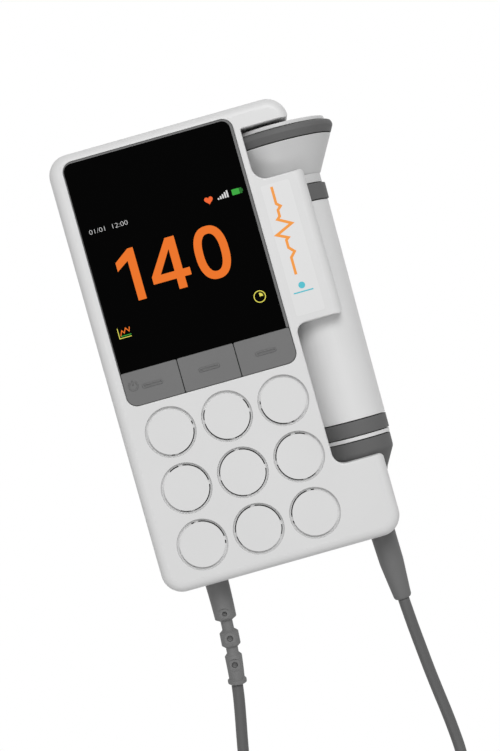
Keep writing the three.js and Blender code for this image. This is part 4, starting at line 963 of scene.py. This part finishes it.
def dense(points, step=0.5):
    """A profile with more points along its long runs, so that it can bend."""
    made = [points[0]]
    for (r0, y0), (r1, y1) in zip(points, points[1:]):
        count = max(1, math.ceil(abs(y1 - y0) / step))
        made += [(r0 + (r1 - r0) * k / count, y0 + (y1 - y0) * k / count) for k in range(1, count)]
        made.append((r1, y1))
    return made


def straight_relief(name, corners, step):
    return lathe(name, dense([tuple(p) for p in fillet(to_axis(corners), step)]), COARSE)


def hollow(name, wide, narrow, top, floor, edge, place):
    """A tool for a round hollow that narrows from wide at its top to narrow at its floor."""
    corners = to_axis([(wide, top, 0), (narrow, floor, edge)])
    return turned(name, corners[::-1], 32, place)


def unit_relief():
    made = straight_relief("unit_relief", UNIT_RELIEF, 20)
    for y, r, surface in DIMPLES:
        top, shallow, deep = surface + 1, surface - 0.5, surface - 1.7
        for side in (1, -1):
            place = Matrix.Translation((0, y, 0)) @ Matrix.Rotation(side * math.pi / 2, 4, "X")
            carve(made, [hollow("tool_dimple", r + 1.1, r + 0.85, top, shallow, 0.2, place)])
            carve(made, [hollow("tool_pit", r, r * 0.85, top, deep, 0.3, place)])
    bend(made, -2.4, -3.3, 2)
    made.data.transform(Matrix.Translation(Vector((RELIEF_X, BOTTOM, RELIEF_Z)) * MM))
    return made


def probe_relief():
    made = straight_relief("probe_relief", PROBE_RELIEF, 12)
    bend(made, 1.43, -3.4, 1.4)
    to_metres, to_mm = Matrix.Diagonal((MM, MM, MM, 1)), Matrix.Diagonal((1 / MM, 1 / MM, 1 / MM, 1))
    made.data.transform(to_metres @ PROBE @ Matrix.Translation((0, PROBE_RELIEF_Y, 0)) @ to_mm)
    return made


settle(unit_relief(), "main_unit", "relief", ["unit_strain_relief"])
settle(probe_relief(), "probe", "boot", ["probe_strain_relief"])

# The probe. Each piece is a profile of (radius, height, rounding) corners turned about its axis.
PROBE_PIECES = {
    "probe_face": ("acoustic", "acoustic_cap", [
        (0, 60.4, 0), (15.9, 60.4, 0.15), (15.9, 61.5, 0.3), (15.42, 61.62, 0.8), (11.93, 61.95, 6),
        (6.36, 62.28, 14), (0, 62.4, 0),
    ]),
    "probe_face_band": ("dark", "dark_band", [
        (14.6, 56.15, 0), (16.95, 56.15, 0.2), (18.1, 58.3, 0.7), (17.98, 59.2, 0.6), (17.65, 59.83, 0.5),
        (17.1, 60.1, 0.3), (14.6, 60.1, 0),
    ]),
    "probe_head": ("head", "casing", [
        (8.4, 41.65, 0), (10.25, 41.65, 0.2), (10.25, 44.45, 0.15), (10.6, 44.75, 0.35), (16.75, 55.85, 0.15),
        (14.95, 55.85, 0), (8.8, 44.75, 0), (8.4, 44.45, 0),
    ]),
    "probe_neck_band": ("dark", "dark_band", [
        (8.4, 36.25, 0), (11.1, 36.25, 0.2), (11.1, 41.35, 0.2), (8.4, 41.35, 0),
    ]),
    "probe_handle": ("probe", "casing", [
        (9.05, -33.25, 0), (10.85, -33.25, 0.15), (10.75, -10, 40), (10.7, 35.95, 0.2), (8.95, 35.95, 0),
        (8.95, -10, 0),
    ]),
    "probe_tail_band": ("dark", "dark_band", [
        (9.05, -38.1, 0), (10.9, -38.1, 0.12), (10.9, -33.55, 0.12), (9.05, -33.55, 0),
    ]),
    "probe_tail_ring": ("probe", "casing", [
        (9.05, -39.55, 0), (10.75, -39.55, 0.1), (10.75, -38.4, 0.1), (9.05, -38.4, 0),
    ]),
    "probe_tail": ("dark", "dark_band", [
        (2.2, -57.6, 0), (4.7, -57.6, 0.4), (7.3, -50, 5), (10.65, -44.05, 2.5), (10.65, -39.85, 0.12),
        (8.85, -39.85, 0), (8.85, -43.2, 0), (2.2, -48.2, 0),
    ]),
}
for node, (material, slot, corners) in PROBE_PIECES.items():
    settle(turned(node + "_skin", corners, FINE, PROBE, 9), "probe", material, [node])

# The cells, with a plain wrap in two colours. They lie head to tail.
CELL_R, CELL_PITCH, CELL_Z = 7.25, 15.0, 9.55
CELL_END = 50.5 / 2
CELL_GOLD = CELL_END - 14.2  # where the golden part of the wrap starts
CELL_SHOULDER = CELL_END - 1
CELL_NUB_R = 2.7
CELL_BODY = [(CELL_R, -CELL_END, 0.5), (CELL_R, CELL_GOLD, 0)]
CELL_CAP = [
    (CELL_R, CELL_GOLD, 0), (CELL_R, CELL_SHOULDER, 0.6), (CELL_NUB_R, CELL_SHOULDER, 0.2),
    (CELL_NUB_R, CELL_END, 0.4),
]
for i in range(2):
    place = Matrix.Translation((SPEAKER_X + (i - 0.5) * CELL_PITCH, (WELL_LOW + WELL_HIGH) / 2, CELL_Z))
    if i == 1:
        place = place @ Matrix.Rotation(math.pi, 4, "X")
    wrap = turned(f"cell_wrap_{i + 1}", to_axis(CELL_BODY), COARSE, place)
    cell_top = turned(f"cell_top_{i + 1}", to_axis(CELL_CAP), COARSE, place)
    settle(wrap, "main_unit", "cell", [f"battery_cell_{i + 1}"])
    settle(cell_top, "main_unit", "cell_gold")

# The nodes that stay as they are get their material here.
STAYING = {
    "display": ["lcd_module"],
    "board": ["keypad_board", "main_board", "probe_circuit_board"],
    "chip": [
        "key_switch_left", "key_switch_centre", "key_switch_right", "processor_chip", "audio_amplifier",
        "cord_socket",
    ],
    "cloth": ["grille_cloth"],
    "cone": ["loudspeaker_cone"],
    "steel": [
        "loudspeaker_basket", "loudspeaker_magnet", "battery_contact_bridge", "battery_contact_minus",
        "battery_contact_plus",
    ],
    "ceramic": ["piezo_transmitter", "piezo_receiver"],
    "foam": ["probe_backing"],
}
for material, names in STAYING.items():
    for name in names:
        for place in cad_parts[name].material_slots:
            place.material = finish[material]

# A white floor that is clear from below, a plain white surround and two soft lamps.
WHITE = (1, 1, 1, 1)
SURROUND_STRENGTH = 0.4
FLOOR_GREY = (0.5, 0.5, 0.5, 1)
FLOOR_HALF, FLOOR_Z = 3000, -0.02


def white_to_view(nodes, links, lit_part, seen_part):
    """Shows seen_part to the camera, in reflections and through glass, and lit_part to all other rays."""
    rays = nodes.new("ShaderNodeLightPath")
    seen = rays.outputs["Is Camera Ray"]
    for kind in ("Is Glossy Ray", "Is Transmission Ray"):
        either = nodes.new("ShaderNodeMath")
        either.operation = "MAXIMUM"
        links.new(seen, either.inputs[0])
        links.new(rays.outputs[kind], either.inputs[1])
        seen = either.outputs[0]
    mix = nodes.new("ShaderNodeMixShader")
    links.new(seen, mix.inputs["Fac"])
    links.new(lit_part, mix.inputs[1])
    links.new(seen_part, mix.inputs[2])
    return mix.outputs["Shader"]


world = bpy.data.worlds.new("surround")
scene.world = world
world.use_nodes = True
nodes, links = world.node_tree.nodes, world.node_tree.links
dome = nodes["Background"]
dome.inputs["Color"].default_value = WHITE
dome.inputs["Strength"].default_value = SURROUND_STRENGTH
seen = nodes.new("ShaderNodeBackground")
seen.inputs["Color"].default_value = WHITE
surround = white_to_view(nodes, links, dome.outputs["Background"], seen.outputs["Background"])
links.new(surround, nodes["World Output"].inputs["Surface"])

floor_paint = bpy.data.materials.new("floor")
floor_paint.use_nodes = True
nodes, links = floor_paint.node_tree.nodes, floor_paint.node_tree.links
nodes.remove(nodes["Principled BSDF"])
matte = nodes.new("ShaderNodeBsdfDiffuse")
matte.inputs["Color"].default_value = FLOOR_GREY
shine = nodes.new("ShaderNodeEmission")
under = nodes.new("ShaderNodeNewGeometry")
clear = nodes.new("ShaderNodeBsdfTransparent")
side = nodes.new("ShaderNodeMixShader")
links.new(under.outputs["Backfacing"], side.inputs["Fac"])
links.new(white_to_view(nodes, links, matte.outputs["BSDF"], shine.outputs["Emission"]), side.inputs[1])
links.new(clear.outputs["BSDF"], side.inputs[2])
links.new(side.outputs["Shader"], nodes["Material Output"].inputs["Surface"])
corners = [(x * FLOOR_HALF, y * FLOOR_HALF, FLOOR_Z) for x, y in ((-1, -1), (1, -1), (1, 1), (-1, 1))]
floor = mesh_object("floor", corners, [(0, 1, 2, 3)])
floor.data.materials.append(floor_paint)

LAMP_SIZE = 0.8


def lamp(name, place, watts):
    """A round lamp at a place in metres, which shines on the middle of the unit's back."""
    data = bpy.data.lights.new(name, "AREA")
    data.shape, data.size, data.energy = "DISK", LAMP_SIZE, watts
    made = bpy.data.objects.new(name, data)
    made.location = place
    made.rotation_euler = (-Vector(place)).to_track_quat("-Z", "Y").to_euler()
    scene.collection.objects.link(made)


lamp("key_lamp", (0.3, 0.74, 1.5), 15.2)
lamp("fill_lamp", (-0.5, -1.2, 1.1), 3.4)

scene.view_settings.view_transform = "Standard"
